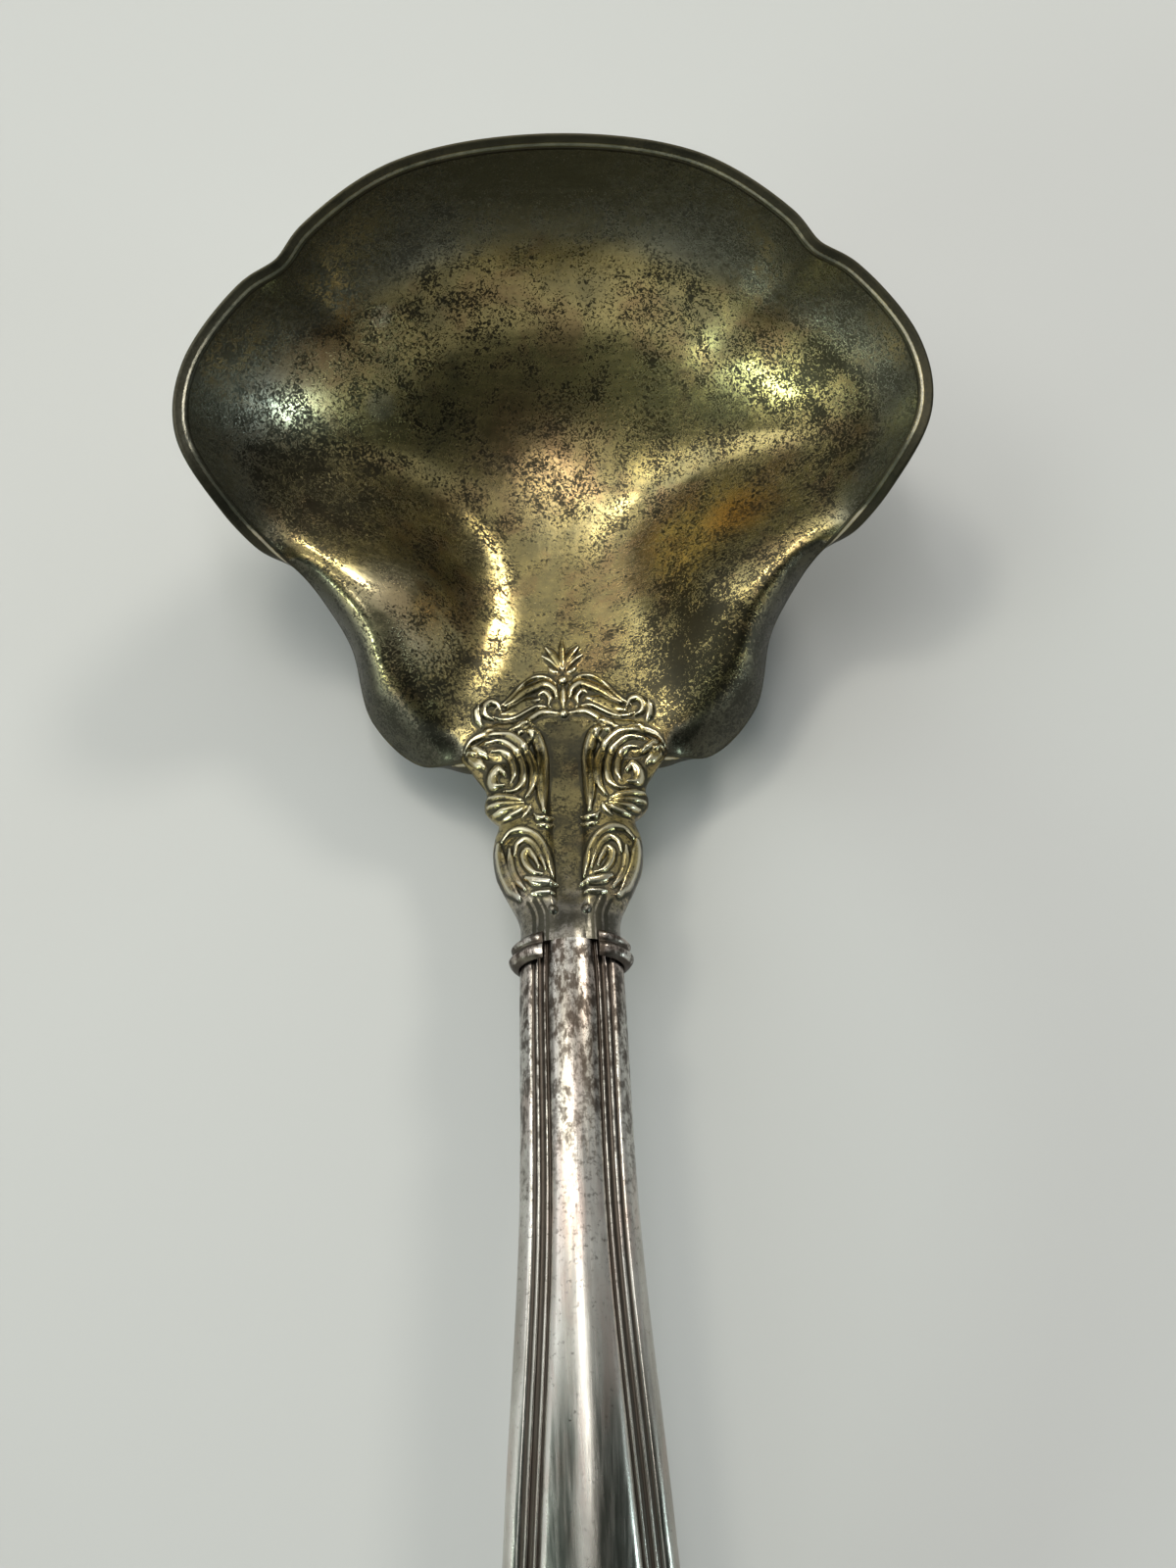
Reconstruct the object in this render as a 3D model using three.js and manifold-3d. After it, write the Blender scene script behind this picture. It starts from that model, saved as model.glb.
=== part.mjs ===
// A cream ladle with a lobed bowl, a shoulder of C scrolls and a hollow reeded handle, built from
// the pieces that are soldered and cemented together. Millimetres, +Z up.
// It lies as it does on a table: the bowl rests on a small flat at the origin, and the handle, which
// runs towards -Y, comes down to the same plane at its tip.

import * as THREE from 'three';
import { mergeVertices } from 'three/addons/utils/BufferGeometryUtils.js';
import Module from 'manifold-3d';

const wasm = await Module();
wasm.setup();

// Bowl: reaches are measured from the middle of the bowl, heights from its inner bottom
const bowlWidth = 51;
const frontReach = 20.3;
const backReach = 21.8;
const bowlDepth = 15;
const shoulderRise = 13.6;
const earRise = 13.4;
const earDrop = 3.2;
const dishRadiusAcross = 27;
const dishRadiusAlong = 17.5;
const bowlWall = 0.9;
const bowlTilt = 18;
const baseFlatDepth = 0.25;
const edgeWireDiameter = 0.9;

// Shoulder: from the bowl's back edge to the collar
const shoulderLength = 15.8;
const shoulderWidth = 14.5;
const waistWidth = 6.6;
const shoulderFrontCrown = 1.1;
const shoulderBackCrown = 1.75;
const channelWidth = 2.8;
const channelDepth = 0.5;
const scrollWire = 0.5;
const dropLength = 8.5;
const dropWidth = 7;
const dropThickness = 0.95;

// Handle: lengths run along its curved middle line from the collar
const handleLength = 79.5;
const stemWidth = 6.85;
const midWidth = 7.6;
const midAt = 19;
const flareWidth = 10.3;
const flareAt = 37;
const endWidth = 14.7;
const endRadiusLength = 10;
const handleCrown = 2.05;
const endCrown = 1.7;
const handleWall = 0.6;
const reedDepth = 0.26;
const reedBorder = 2.3;
const tipDip = 21;
const collarWidth = 2.3;
const collarThickness = 0.7;
const collarOpening = 2.3;

// Tang and the seams between the pieces
const tangWidth = 2.5;
const tangThickness = 1.3;
const tangTipShare = 0.6;
const tangInShoulder = 6;
const tangInHandle = 38;
const seam = 0.2;

// Facets
const stepsPerEdgePoint = 4;
const wallSteps = 9;

const { degToRad, smoothstep, lerp } = THREE.MathUtils;
const vector = (x, y, z) => new THREE.Vector3(x, y, z);

// Meshes and solids

// Closed geometry from triangles, with shared corners merged and its faces turned outwards
function closedGeometry(triangles) {
  const geometry = new THREE.BufferGeometry();
  geometry.setAttribute('position', new THREE.Float32BufferAttribute(
    triangles.flatMap((corner) => [corner.x, corner.y, corner.z]), 3));
  const merged = mergeVertices(geometry, 1e-4);
  const index = Array.from(merged.index.array);
  const kept = [];
  let volume = 0;
  const [a, b, c] = [vector(), vector(), vector()];
  for (let i = 0; i < index.length; i += 3) {
    const [p, q, r] = index.slice(i, i + 3);
    if (p === q || q === r || r === p) continue;
    kept.push(p, q, r);
    a.fromBufferAttribute(merged.attributes.position, p);
    b.fromBufferAttribute(merged.attributes.position, q);
    c.fromBufferAttribute(merged.attributes.position, r);
    volume += a.dot(b.cross(c));
  }
  merged.setIndex(volume < 0 ? kept.reverse() : kept);
  return merged;
}

function solidOf(geometry) {
  const bare = geometry.clone();
  bare.deleteAttribute('normal');
  bare.deleteAttribute('uv');
  const merged = mergeVertices(bare, 1e-4);
  return new wasm.Manifold(new wasm.Mesh({
    numProp: 3,
    vertProperties: Float32Array.from(merged.attributes.position.array),
    triVerts: Uint32Array.from(merged.index.array),
  }));
}

function geometryOf(solid) {
  const mesh = solid.getMesh();
  const geometry = new THREE.BufferGeometry();
  geometry.setAttribute('position', new THREE.Float32BufferAttribute(mesh.vertProperties, 3));
  geometry.setIndex(Array.from(mesh.triVerts));
  return geometry;
}

// Two triangles over four corners, split along the shorter diagonal
function quad(triangles, a, b, c, d) {
  if (a.distanceToSquared(c) < b.distanceToSquared(d)) triangles.push(a, b, c, a, c, d);
  else triangles.push(a, b, d, b, c, d);
}

// Solid through a row of closed rings, with a fan of triangles over each end
function loft(rings) {
  const triangles = [];
  const count = rings[0].length;
  for (let j = 0; j + 1 < rings.length; j += 1) {
    for (let i = 0; i < count; i += 1) {
      const k = (i + 1) % count;
      quad(triangles, rings[j][i], rings[j][k], rings[j + 1][k], rings[j + 1][i]);
    }
  }
  for (const [ring, step] of [[rings[0], -1], [rings.at(-1), 1]]) {
    const middle = ring.reduce((sum, point) => sum.add(point), vector()).divideScalar(count);
    for (let i = 0; i < count; i += 1) {
      const k = (i + 1) % count;
      if (step > 0) triangles.push(ring[i], ring[k], middle);
      else triangles.push(ring[k], ring[i], middle);
    }
  }
  return closedGeometry(triangles);
}

// Solid between two grids of points; a folded end needs no edge strip
function sheetSolid(outer, inner, foldedEnd) {
  const triangles = [];
  const rows = outer.length - 1;
  const columns = outer[0].length - 1;
  for (let j = 0; j < rows; j += 1) {
    for (let i = 0; i < columns; i += 1) {
      quad(triangles, outer[j][i], outer[j][i + 1], outer[j + 1][i + 1], outer[j + 1][i]);
      quad(triangles, inner[j][i], inner[j + 1][i], inner[j + 1][i + 1], inner[j][i + 1]);
    }
    quad(triangles, outer[j][0], outer[j + 1][0], inner[j + 1][0], inner[j][0]);
    quad(triangles, outer[j][columns], inner[j][columns], inner[j + 1][columns], outer[j + 1][columns]);
  }
  for (let i = 0; i < columns; i += 1) {
    quad(triangles, outer[0][i], inner[0][i], inner[0][i + 1], outer[0][i + 1]);
    if (foldedEnd) continue;
    quad(triangles, outer[rows][i], outer[rows][i + 1], inner[rows][i + 1], inner[rows][i]);
  }
  return closedGeometry(triangles);
}

// Smooth function through [place, value] pairs, level at both ends
function throughPoints(pairs) {
  const slope = (i) => {
    if (i === 0 || i === pairs.length - 1) return 0;
    return (pairs[i + 1][1] - pairs[i - 1][1]) / (pairs[i + 1][0] - pairs[i - 1][0]);
  };
  return (place) => {
    if (place <= pairs[0][0]) return pairs[0][1];
    if (place >= pairs.at(-1)[0]) return pairs.at(-1)[1];
    const i = pairs.findIndex(([end]) => end > place) - 1;
    const span = pairs[i + 1][0] - pairs[i][0];
    const t = (place - pairs[i][0]) / span;
    return pairs[i][1] * (1 + 2 * t) * (1 - t) ** 2 + slope(i) * span * t * (1 - t) ** 2
      + pairs[i + 1][1] * t ** 2 * (3 - 2 * t) + slope(i + 1) * span * t ** 2 * (t - 1);
  };
}

// Bowl surface, in a frame whose edge plane is level

// Right half of the edge seen square on, from the front round to the shoulder: shares of the half
// width and of the front or back reach. The notches are where the lobes meet.
const edgeHalf = [
  [0, 1], [0.405, 0.922], [0.644, 0.722], [0.716, 0.607], [0.82, 0.522], [0.968, 0.275],
  [0.99, 0.06], [0.877, -0.18], [0.706, -0.395], [0.643, -0.5], [0.583, -0.63], [0.531, -0.87],
  [0.4, -1.02], [0.277, -1.017],
];

const edgePoint = ([across, along]) => vector(
  across * bowlWidth / 2, along * (along > 0 ? frontReach : backReach), 0);
const edgeCurve = new THREE.CatmullRomCurve3([
  ...edgeHalf.map(edgePoint),
  ...edgeHalf.slice(1).reverse().map(([across, along]) => edgePoint([-across, along])),
], true);

// Angle round the bowl, from 0 at the front to half a turn at the shoulder, positive to the right
const bearing = (point) => Math.atan2(point.x, point.y);
const edgeSamples = edgeCurve.getSpacedPoints(900).filter((point) => point.x >= 0)
  .map((point) => [bearing(point), Math.hypot(point.x, point.y)])
  .sort((one, other) => one[0] - other[0]);

function edgeRadius(angle) {
  const turn = Math.abs(Math.atan2(Math.sin(angle), Math.cos(angle)));
  const after = edgeSamples.findIndex(([place]) => place > turn);
  if (after < 0) return edgeSamples.at(-1)[1];
  if (after === 0) return edgeSamples[0][1];
  const [from, near] = edgeSamples[after - 1];
  const [to, far] = edgeSamples[after];
  return lerp(near, far, (turn - from) / (to - from));
}

// The lobes fade into this plain oval towards the bottom
const ovalWidth = 0.92 * bowlWidth;
const lobeOnset = 2.5;
function ovalRadius(angle) {
  const along = Math.cos(angle) / (Math.cos(angle) > 0 ? frontReach : backReach);
  const across = Math.sin(angle) / (ovalWidth / 2);
  return 1 / Math.hypot(along, across);
}

// Wall height at a share of the way from the bottom to the edge
const wallSteepness = 0.93;
const wallProfile = (share) => (1 - Math.sqrt(1 - (wallSteepness * share) ** 2))
  / (1 - Math.sqrt(1 - wallSteepness ** 2));
const backFlattening = 0.4;
const backProfile = (share) => (1 + backFlattening) * share ** 2 - backFlattening * share ** 4;
const earCrestShare = 0.86;
const earCurve = 1.2;
function earHeight(share) {
  const climb = share / earCrestShare;
  if (climb > 1) return earRise - earDrop * ((share - earCrestShare) / (1 - earCrestShare)) ** 2;
  return earRise * (earCurve * climb ** 2 + (4 - 2 * earCurve) * climb ** 3 + (earCurve - 3) * climb ** 4);
}

// Angles in degrees between which the plain wall turns into the ears, and the ears into the back:
// gently at the bottom and sharply at the edge
const earTurn = { bottom: [60, 150], edge: [90, 130] };
const backTurn = { bottom: [95, 180], edge: [152, 166] };
const turnShare = ({ bottom, edge }, degrees, share) => smoothstep(
  degrees, lerp(bottom[0], edge[0], share), lerp(bottom[1], edge[1], share));

// The bottom is a round dish, which passes into the three parts of the wall
const dishShares = [0.05, 0.65];
function bowlInner(share, angle) {
  const degrees = THREE.MathUtils.radToDeg(Math.abs(Math.atan2(Math.sin(angle), Math.cos(angle))));
  const back = turnShare(backTurn, degrees, share);
  const ear = turnShare(earTurn, degrees, share) * (1 - back);
  const wall = (1 - back - ear) * bowlDepth * wallProfile(share)
    + ear * earHeight(share) + back * shoulderRise * backProfile(share);
  const radius = share * lerp(ovalRadius(angle), edgeRadius(angle), share ** lobeOnset);
  const [x, y] = [radius * Math.sin(angle), radius * Math.cos(angle)];
  const dish = x ** 2 / (2 * dishRadiusAcross) + y ** 2 / (2 * dishRadiusAlong);
  return vector(x, y, lerp(dish, wall, smoothstep(share, ...dishShares)));
}

// Unit vectors at a point of the inner wall: along the wall towards the edge, and out of the wall
const nudge = 1e-3;
function bowlFrame(share, angle) {
  const at = Math.max(share, nudge);
  const low = bowlInner(at - nudge, angle);
  const up = bowlInner(Math.min(at + nudge, 1), angle).sub(low).normalize();
  const round = bowlInner(at, angle + nudge).sub(bowlInner(at, angle - nudge)).normalize();
  const normal = share < 2 * nudge ? vector(0, 0, 1) : round.clone().cross(up).normalize();
  if (normal.z < 0) normal.negate();
  return { point: bowlInner(share, angle), up, normal };
}

const bowlAt = (share, angle, depth) => {
  const { point, normal } = bowlFrame(share, angle);
  return point.addScaledVector(normal, -depth);
};

// The bowl leans back until it lies on the table; its lowest point becomes the origin
const lean = new THREE.Matrix4().makeRotationX(degToRad(bowlTilt));
let lowest = vector(0, 0, Infinity);
const searchStep = 0.002;
for (let share = 0; share < dishShares[1]; share += searchStep) {
  const point = bowlAt(share, Math.PI, bowlWall).applyMatrix4(lean);
  if (point.z < lowest.z) lowest = point;
}
const settle = new THREE.Matrix4()
  .makeTranslation(0, -lowest.y, -lowest.z - baseFlatDepth).multiply(lean);
const settled = (point) => point.applyMatrix4(settle);

// Middle line of the shoulder and handle

const jointFrame = bowlFrame(1, Math.PI);
const jointAlong = jointFrame.up.clone().transformDirection(settle);
const jointNormal = jointFrame.normal.clone().transformDirection(settle);
const bowlAboveMiddle = 0.45;
const middleStart = settled(jointFrame.point.clone())
  .addScaledVector(jointAlong, seam).addScaledVector(jointNormal, -bowlAboveMiddle);
const middleLength = shoulderLength + handleLength;

// One arch from the bowl's back to the tip, which leaves the bowl in line with its wall
const archPull = 0.4 * middleLength;
function middleLine(tip) {
  const dip = degToRad(tipDip);
  return new THREE.CubicBezierCurve3(
    middleStart,
    middleStart.clone().addScaledVector(jointAlong, archPull),
    tip.clone().add(vector(0, archPull * Math.cos(dip), archPull * Math.sin(dip))),
    tip,
  );
}

// Point at a distance along a middle line, to one side of it and above it
const placer = (line) => (across, along, height) => {
  const share = THREE.MathUtils.clamp(along / middleLength, 0, 1);
  const tangent = line.getTangentAt(share);
  return line.getPointAt(share).add(vector(across, tangent.z * height, -tangent.y * height));
};

// Sections across the middle line

const collarAt = shoulderLength;
const endAt = middleLength - endRadiusLength;

// Scalloped sides of the shoulder: share of its length, share of the way from waist to full width
const shoulderSides = [
  [0, 0.97], [0.03, 1], [0.076, 0.81], [0.133, 0.62], [0.184, 0.55], [0.234, 0.59],
  [0.285, 0.56], [0.335, 0.37], [0.367, 0.35], [0.43, 0.42], [0.519, 0.45], [0.627, 0.4],
  [0.709, 0.28], [0.797, 0.12], [0.854, 0.03], [0.9, 0],
];
const halfWidth = throughPoints([
  ...shoulderSides.map(([share, swell]) => [
    share * shoulderLength, lerp(waistWidth, shoulderWidth, swell) / 2]),
  [collarAt + collarWidth, stemWidth / 2],
  [collarAt + midAt, midWidth / 2],
  [collarAt + flareAt, flareWidth / 2],
  [endAt, endWidth / 2],
]);
const frontCrown = throughPoints([
  [0, shoulderFrontCrown], [collarAt, handleCrown], [endAt, endCrown]]);
const backCrown = throughPoints([
  [0, shoulderBackCrown], [collarAt, handleCrown], [endAt, endCrown]]);

// Height of the plain rounded section at a share of the way from the middle to the side
const sectionPower = 2.4;
const bulge = (share) => Math.sqrt(Math.max(0, 1 - Math.abs(share) ** sectionPower));

// Handle: rows of points from the middle out to the edge, square to the edge near it so that the
// reeds keep their width round the tip

const straightRows = 16;
const tipRows = 7;
const flat = (across, along) => new THREE.Vector2(across, along);

// Edge of the handle in one row, with the way in from it and the middle that the row starts from
function handleRow(start, row) {
  if (row <= straightRows) {
    const along = lerp(start, endAt, row / straightRows);
    const flare = row === 0 ? 0 : (halfWidth(along + nudge) - halfWidth(along - nudge)) / (2 * nudge);
    const inward = flat(-1, flare).normalize();
    return { edge: flat(halfWidth(along), along), inward, middle: flat(0, along) };
  }
  const turn = Math.PI / 2 * (row - straightRows) / tipRows;
  const across = row === straightRows + tipRows ? 0 : Math.cos(turn);
  const edge = flat(across * endWidth / 2, endAt + endRadiusLength * Math.sin(turn));
  const inward = flat(-2 * across / endWidth, -Math.sin(turn) / endRadiusLength).normalize();
  return { edge, inward, middle: flat(0, endAt) };
}

// Reeds of the front: share of the border in from the edge, and share of the groove's depth there
const reeds = [
  [1.08, 0], [0.96, 1], [0.85, 0], [0.72, 1], [0.6, 0],
  [0.48, 1], [0.36, 0.15], [0.2, 0], [0.07, 0], [0, 0],
];
const plainColumns = [0.75, 0.5, 0.28, 0.1, 0];

// Points of one row, from the middle to the edge, each with the depth of the groove there
function rowPoints({ edge, inward, middle }, reeded) {
  if (!reeded) return [[middle, 0], ...plainColumns.map((share) => [edge.clone().lerp(middle, share), 0])];
  const border = reeds.map(([share, depth]) => [
    edge.clone().addScaledVector(inward, share * reedBorder), depth * reedDepth]);
  return [[middle, 0], [border[0][0].clone().lerp(middle, 0.5), 0], ...border];
}

// Grid of points over the front (side 1) or back (side -1) of the handle; inset moves the whole
// surface inwards and leaves the grooves out, and lift moves it away from the seam
function handleSurface(placeOn, start, side, inset, lift, reeded) {
  const crownAt = side > 0 ? frontCrown : backCrown;
  return Array.from({ length: straightRows + tipRows + 1 }, (_, index) => {
    const row = handleRow(start, index);
    const span = row.edge.distanceTo(row.middle);
    const half = rowPoints(row, reeded).map(([point, groove]) => {
      const away = point.clone().sub(row.middle);
      const crown = Math.max(crownAt(point.y) - inset, 0);
      const height = lift + crown * bulge(Math.min(away.length() / span, 1)) - (inset > 0 ? 0 : groove);
      return [away.multiplyScalar(1 - inset / span).add(row.middle), side * height];
    });
    return [
      ...half.slice(1).reverse().map(([point, height]) => placeOn(-point.x, point.y, height)),
      ...half.map(([point, height]) => placeOn(point.x, point.y, height)),
    ];
  });
}

// The tip moves until the line has its length and the back of the handle touches the table
const tip = vector(0, middleStart.y - middleLength, endCrown);
const tipPasses = 8;
for (let pass = 0; pass < tipPasses; pass += 1) {
  tip.y -= middleLength - middleLine(tip).getLength();
  const back = handleSurface(placer(middleLine(tip)), collarAt, -1, 0, seam / 2, false);
  tip.z -= Math.min(...back.flat().map((point) => point.z));
}
const place = placer(middleLine(tip));

// Pieces

// Everything beyond a plane, as a block to cut with
function blockBeyond(point, direction) {
  const size = 2 * (bowlWidth + middleLength);
  const block = new THREE.BoxGeometry(size, size, size);
  block.translate(0, 0, size / 2);
  block.applyQuaternion(new THREE.Quaternion().setFromUnitVectors(vector(0, 0, 1), direction));
  block.translate(point.x, point.y, point.z);
  return solidOf(block);
}
const behindJoint = blockBeyond(settled(jointFrame.point.clone()), jointAlong);
const belowTable = blockBeyond(vector(0, 0, 0), vector(0, 0, -1));

// Corners round the bowl's edge, with one on each side where the edge wire stops at the shoulder
const shoulderCorner = Math.PI - shoulderWidth / 2 / backReach;
const wireStop = Math.PI - Math.asin((shoulderWidth + edgeWireDiameter) / 2 / edgeRadius(shoulderCorner));
const edgeAngles = edgeCurve.getPoints(stepsPerEdgePoint * edgeCurve.points.length).slice(0, -1).map(bearing)
  .concat(wireStop, -wireStop).sort((one, other) => one - other);

function bowl() {
  const inside = [];
  const outside = [];
  for (let step = 0; step <= wallSteps; step += 1) {
    const share = Math.sin(Math.PI / 2 * step / wallSteps);
    inside.push(edgeAngles.map((angle) => settled(bowlAt(share, angle, 0))));
    outside.push(edgeAngles.map((angle) => settled(bowlAt(share, angle, bowlWall))));
  }
  const shell = solidOf(loft([...inside, ...outside.reverse()]));
  return geometryOf(shell.subtract(behindJoint).subtract(belowTable));
}

// Round wire along the edge, over the same corners as the bowl's, stopping short of the shoulder
function edgeWire() {
  const radius = edgeWireDiameter / 2;
  const corners = 8;
  const angles = edgeAngles.filter((angle) => Math.abs(angle) <= wireStop);
  return loft(angles.map((angle) => {
    const { up, normal } = bowlFrame(1, angle);
    const centre = bowlAt(1, angle, bowlWall / 2).addScaledVector(up, radius + seam);
    return Array.from({ length: corners }, (_, corner) => {
      const turn = 2 * Math.PI * corner / corners;
      return settled(centre.clone()
        .addScaledVector(normal, radius * Math.cos(turn)).addScaledVector(up, radius * Math.sin(turn)));
    });
  }));
}

// Height of the shoulder's front: the rounded section with a plain channel down the middle
const channelHalf = throughPoints([[0, channelWidth / 2], [collarAt, stemWidth / 2 - reedBorder]]);
const channelRunOut = 0.75 * collarAt;
const channelSink = throughPoints([[0, channelDepth], [channelRunOut, channelDepth], [collarAt, 0]]);
const channelSide = [0.85, 1.35];
function shoulderFront(across, along) {
  const off = Math.abs(across);
  const [foot, brink] = channelSide.map((share) => share * channelHalf(along));
  const inChannel = 1 - smoothstep(off, foot, brink);
  return frontCrown(along) * bulge(off / halfWidth(along)) - channelSink(along) * inChannel;
}

// Round wire on the shoulder's front, along points that are shares of its half width and length
const scrollLift = 0.1;
function scrollOnShoulder(points, side) {
  const curve = new THREE.CatmullRomCurve3(points.map(([wide, long]) => {
    const [across, along] = [wide * shoulderWidth / 2, long * shoulderLength];
    return place(side * across, along, shoulderFront(across, along) + scrollLift);
  }));
  const section = new THREE.Shape().absarc(0, 0, scrollWire / 2, 0, 2 * Math.PI);
  return solidOf(new THREE.ExtrudeGeometry(section, {
    steps: 2 * points.length, curveSegments: 3, bevelEnabled: false, extrudePath: curve,
  }));
}

// C scroll that winds in towards its middle: from is where it starts, in degrees
const stepsPerTurn = 9;
const voluteClosing = 0.68;
function volute([across, along], [wide, long], from, turns) {
  const count = Math.round(stepsPerTurn * Math.abs(turns));
  return Array.from({ length: count + 1 }, (_, step) => {
    const share = step / count;
    const turn = degToRad(from) + 2 * Math.PI * turns * share;
    const shrink = 1 - voluteClosing * share;
    return [across + wide * shrink * Math.cos(turn), along - long * shrink * Math.sin(turn)];
  });
}

// Volutes and C bands, as shares of the half width and of the length
const scrolls = [
  volute([0.56, 0.13], [0.25, 0.12], -150, -1.35),
  volute([0.35, 0.53], [0.24, 0.12], 120, -1.35),
  [[0.42, 0.02], [0.33, 0.07], [0.29, 0.14], [0.25, 0.24], [0.2, 0.33], [0.25, 0.37]],
];

function shoulder() {
  const steps = 26;
  const columns = [0, 0.16, 0.3, 0.45, 0.65, 0.84, 0.95, 1];
  const backColumns = [0.9, 0.7, 0.4, 0];
  const rings = [];
  for (let step = 0; step <= steps; step += 1) {
    const along = lerp(0, collarAt - seam, step / steps);
    const width = halfWidth(along);
    const right = [
      ...columns.map((share) => [share * width, shoulderFront(share * width, along)]),
      ...backColumns.map((share) => [share * width, -backCrown(along) * bulge(share)]),
    ];
    const left = right.slice(1, -1).reverse();
    rings.push([
      ...right.map(([across, height]) => place(across, along, height)),
      ...left.map(([across, height]) => place(-across, along, height)),
    ]);
  }
  let solid = solidOf(loft(rings));
  for (const points of scrolls) {
    for (const side of [-1, 1]) solid = solid.add(scrollOnShoulder(points, side));
  }
  return geometryOf(solid.subtract(solidOf(tang(seam))));
}

// Flat bar inside the joint; grown by a clearance, it is also the socket that it sits in
const tangSection = [
  [1, 0.6], [0.75, 1], [-0.75, 1], [-1, 0.6], [-1, -0.6], [-0.75, -1], [0.75, -1], [1, -0.6]];
function tang(clearance) {
  const steps = 14;
  const rings = [];
  for (let step = 0; step <= steps; step += 1) {
    const share = step / steps;
    const along = lerp(collarAt - tangInShoulder - clearance, collarAt + tangInHandle + clearance, share);
    const taper = lerp(1, tangTipShare, share);
    const wide = taper * tangWidth / 2 + clearance;
    const high = taper * tangThickness / 2 + clearance;
    rings.push(tangSection.map(([across, height]) => place(across * wide, along, height * high)));
  }
  return loft(rings);
}

// Tongue under the bowl, up against the shoulder's end; it follows the outside of the bowl and
// thins towards its round tip and its sides
const dropRounding = 0.96;
const dropTipThinning = 0.75;
const dropSideShare = 0.4;
function heelDrop() {
  const steps = 8;
  const columns = [-1, -0.85, -0.5, 0, 0.5, 0.85, 1];
  const bottom = [];
  const top = [];
  for (let step = 0; step <= steps; step += 1) {
    const share = step / steps;
    const along = -backReach + dropLength * share;
    const half = dropWidth / 2 * Math.sqrt(1 - (dropRounding * share) ** 2);
    const row = columns.map((column) => {
      const angle = Math.atan2(column * half, along);
      const at = Math.min(Math.hypot(column * half, along) / edgeRadius(angle), 1);
      return { angle, at, column };
    });
    const rowThickness = dropThickness * (1 - dropTipThinning * share ** 2);
    const thickness = (column) => rowThickness * lerp(1, dropSideShare, column ** 2);
    top.push(row.map(({ angle, at }) => settled(bowlAt(at, angle, bowlWall + seam))));
    bottom.push(row.map(({ angle, at, column }) => settled(
      bowlAt(at, angle, bowlWall + seam + thickness(column)))));
  }
  return geometryOf(solidOf(sheetSolid(top, bottom, false)).subtract(behindJoint));
}

// Open band with two beads round the joint; its ends leave the middle panel of the front free, and
// it swells to a knob at each side
const beads = [[-0.5, 0], [-0.5, 0.45], [-0.3, 1], [0, 0.6], [0.3, 1], [0.5, 0.45], [0.5, 0]];
const knobShares = [0.75, 1.1];
const knobSharpness = 4;
function collar() {
  const steps = 26;
  const gapTurn = Math.acos((collarOpening / stemWidth) ** (sectionPower / 2));
  const rings = [];
  for (let step = 0; step <= steps; step += 1) {
    const turn = lerp(gapTurn, -Math.PI - gapTurn, step / steps);
    const knob = lerp(...knobShares, Math.cos(turn) ** knobSharpness);
    rings.push(beads.map(([share, thickness]) => {
      const along = collarAt + share * collarWidth;
      const out = seam + thickness * knob * collarThickness;
      const across = Math.sign(Math.cos(turn)) * Math.abs(Math.cos(turn)) ** (2 / sectionPower);
      const crown = Math.sin(turn) > 0 ? frontCrown(along) : backCrown(along);
      return place(across * (halfWidth(along) + out), along, Math.sin(turn) * (crown + out));
    }));
  }
  return loft(rings);
}

// Core of the hollow handle, with a bore for the tang
function handleFiller() {
  const inset = handleWall + seam;
  const start = collarAt + 2 * seam;
  const front = handleSurface(place, start, 1, inset, 0, false);
  const back = handleSurface(place, start, -1, inset, 0, false);
  const rings = front.map((row, j) => [...row, ...back[j].slice(1, -1).reverse()]);
  return geometryOf(solidOf(loft(rings)).subtract(solidOf(tang(seam))));
}

// Half of the hollow handle: side 1 is the front and -1 the back
function handleHalf(side, reeded) {
  const start = collarAt + seam;
  return sheetSolid(
    handleSurface(place, start, side, 0, seam / 2, reeded),
    handleSurface(place, start, side, handleWall, seam / 2, reeded), true);
}

const group = new THREE.Group();
const finish = (colour, roughness, metalness) => new THREE.MeshStandardMaterial({
  color: colour, roughness, metalness });

function add(name, geometry, material) {
  const mesh = new THREE.Mesh(geometry, material);
  mesh.name = name;
  group.add(mesh);
}

add('bowl', bowl(), finish(0x8a7a45, 0.35, 1));
add('edge_wire', edgeWire(), finish(0x9a8d60, 0.35, 1));
add('shoulder', shoulder(), finish(0xa59a70, 0.35, 1));
add('heel_drop', heelDrop(), finish(0xb5b2a8, 0.35, 1));
add('collar', collar(), finish(0xb5b2a8, 0.3, 1));
add('handle_front', handleHalf(1, true), finish(0xb5b2a8, 0.3, 1));
add('handle_back', handleHalf(-1, false), finish(0xb5b2a8, 0.3, 1));
add('tang', tang(0), finish(0x9c9a94, 0.5, 1));
add('handle_filler', handleFiller(), finish(0x4a3c2c, 0.9, 0));

export default group;
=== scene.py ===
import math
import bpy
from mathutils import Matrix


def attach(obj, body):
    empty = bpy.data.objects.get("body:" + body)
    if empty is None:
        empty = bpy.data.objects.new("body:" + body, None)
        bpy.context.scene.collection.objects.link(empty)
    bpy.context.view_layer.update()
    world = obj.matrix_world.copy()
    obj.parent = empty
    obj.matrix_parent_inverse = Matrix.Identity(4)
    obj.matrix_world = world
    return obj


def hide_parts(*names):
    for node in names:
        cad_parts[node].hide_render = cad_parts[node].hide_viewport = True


bl_info = {
    "name": "Cream Ladle",
    "version": (1, 0, 0),
    "blender": (4, 5, 0),
    "location": "View3D > Sidebar > Ladle",
    "description": "Dresses the frame of a cream ladle with its bowl, scrolls, handle and finishes",
    "category": "Add Mesh",
}

import bmesh
import bpy
import numpy as np
from bpy.props import FloatProperty, FloatVectorProperty, PointerProperty
from mathutils import Matrix, Vector

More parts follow.
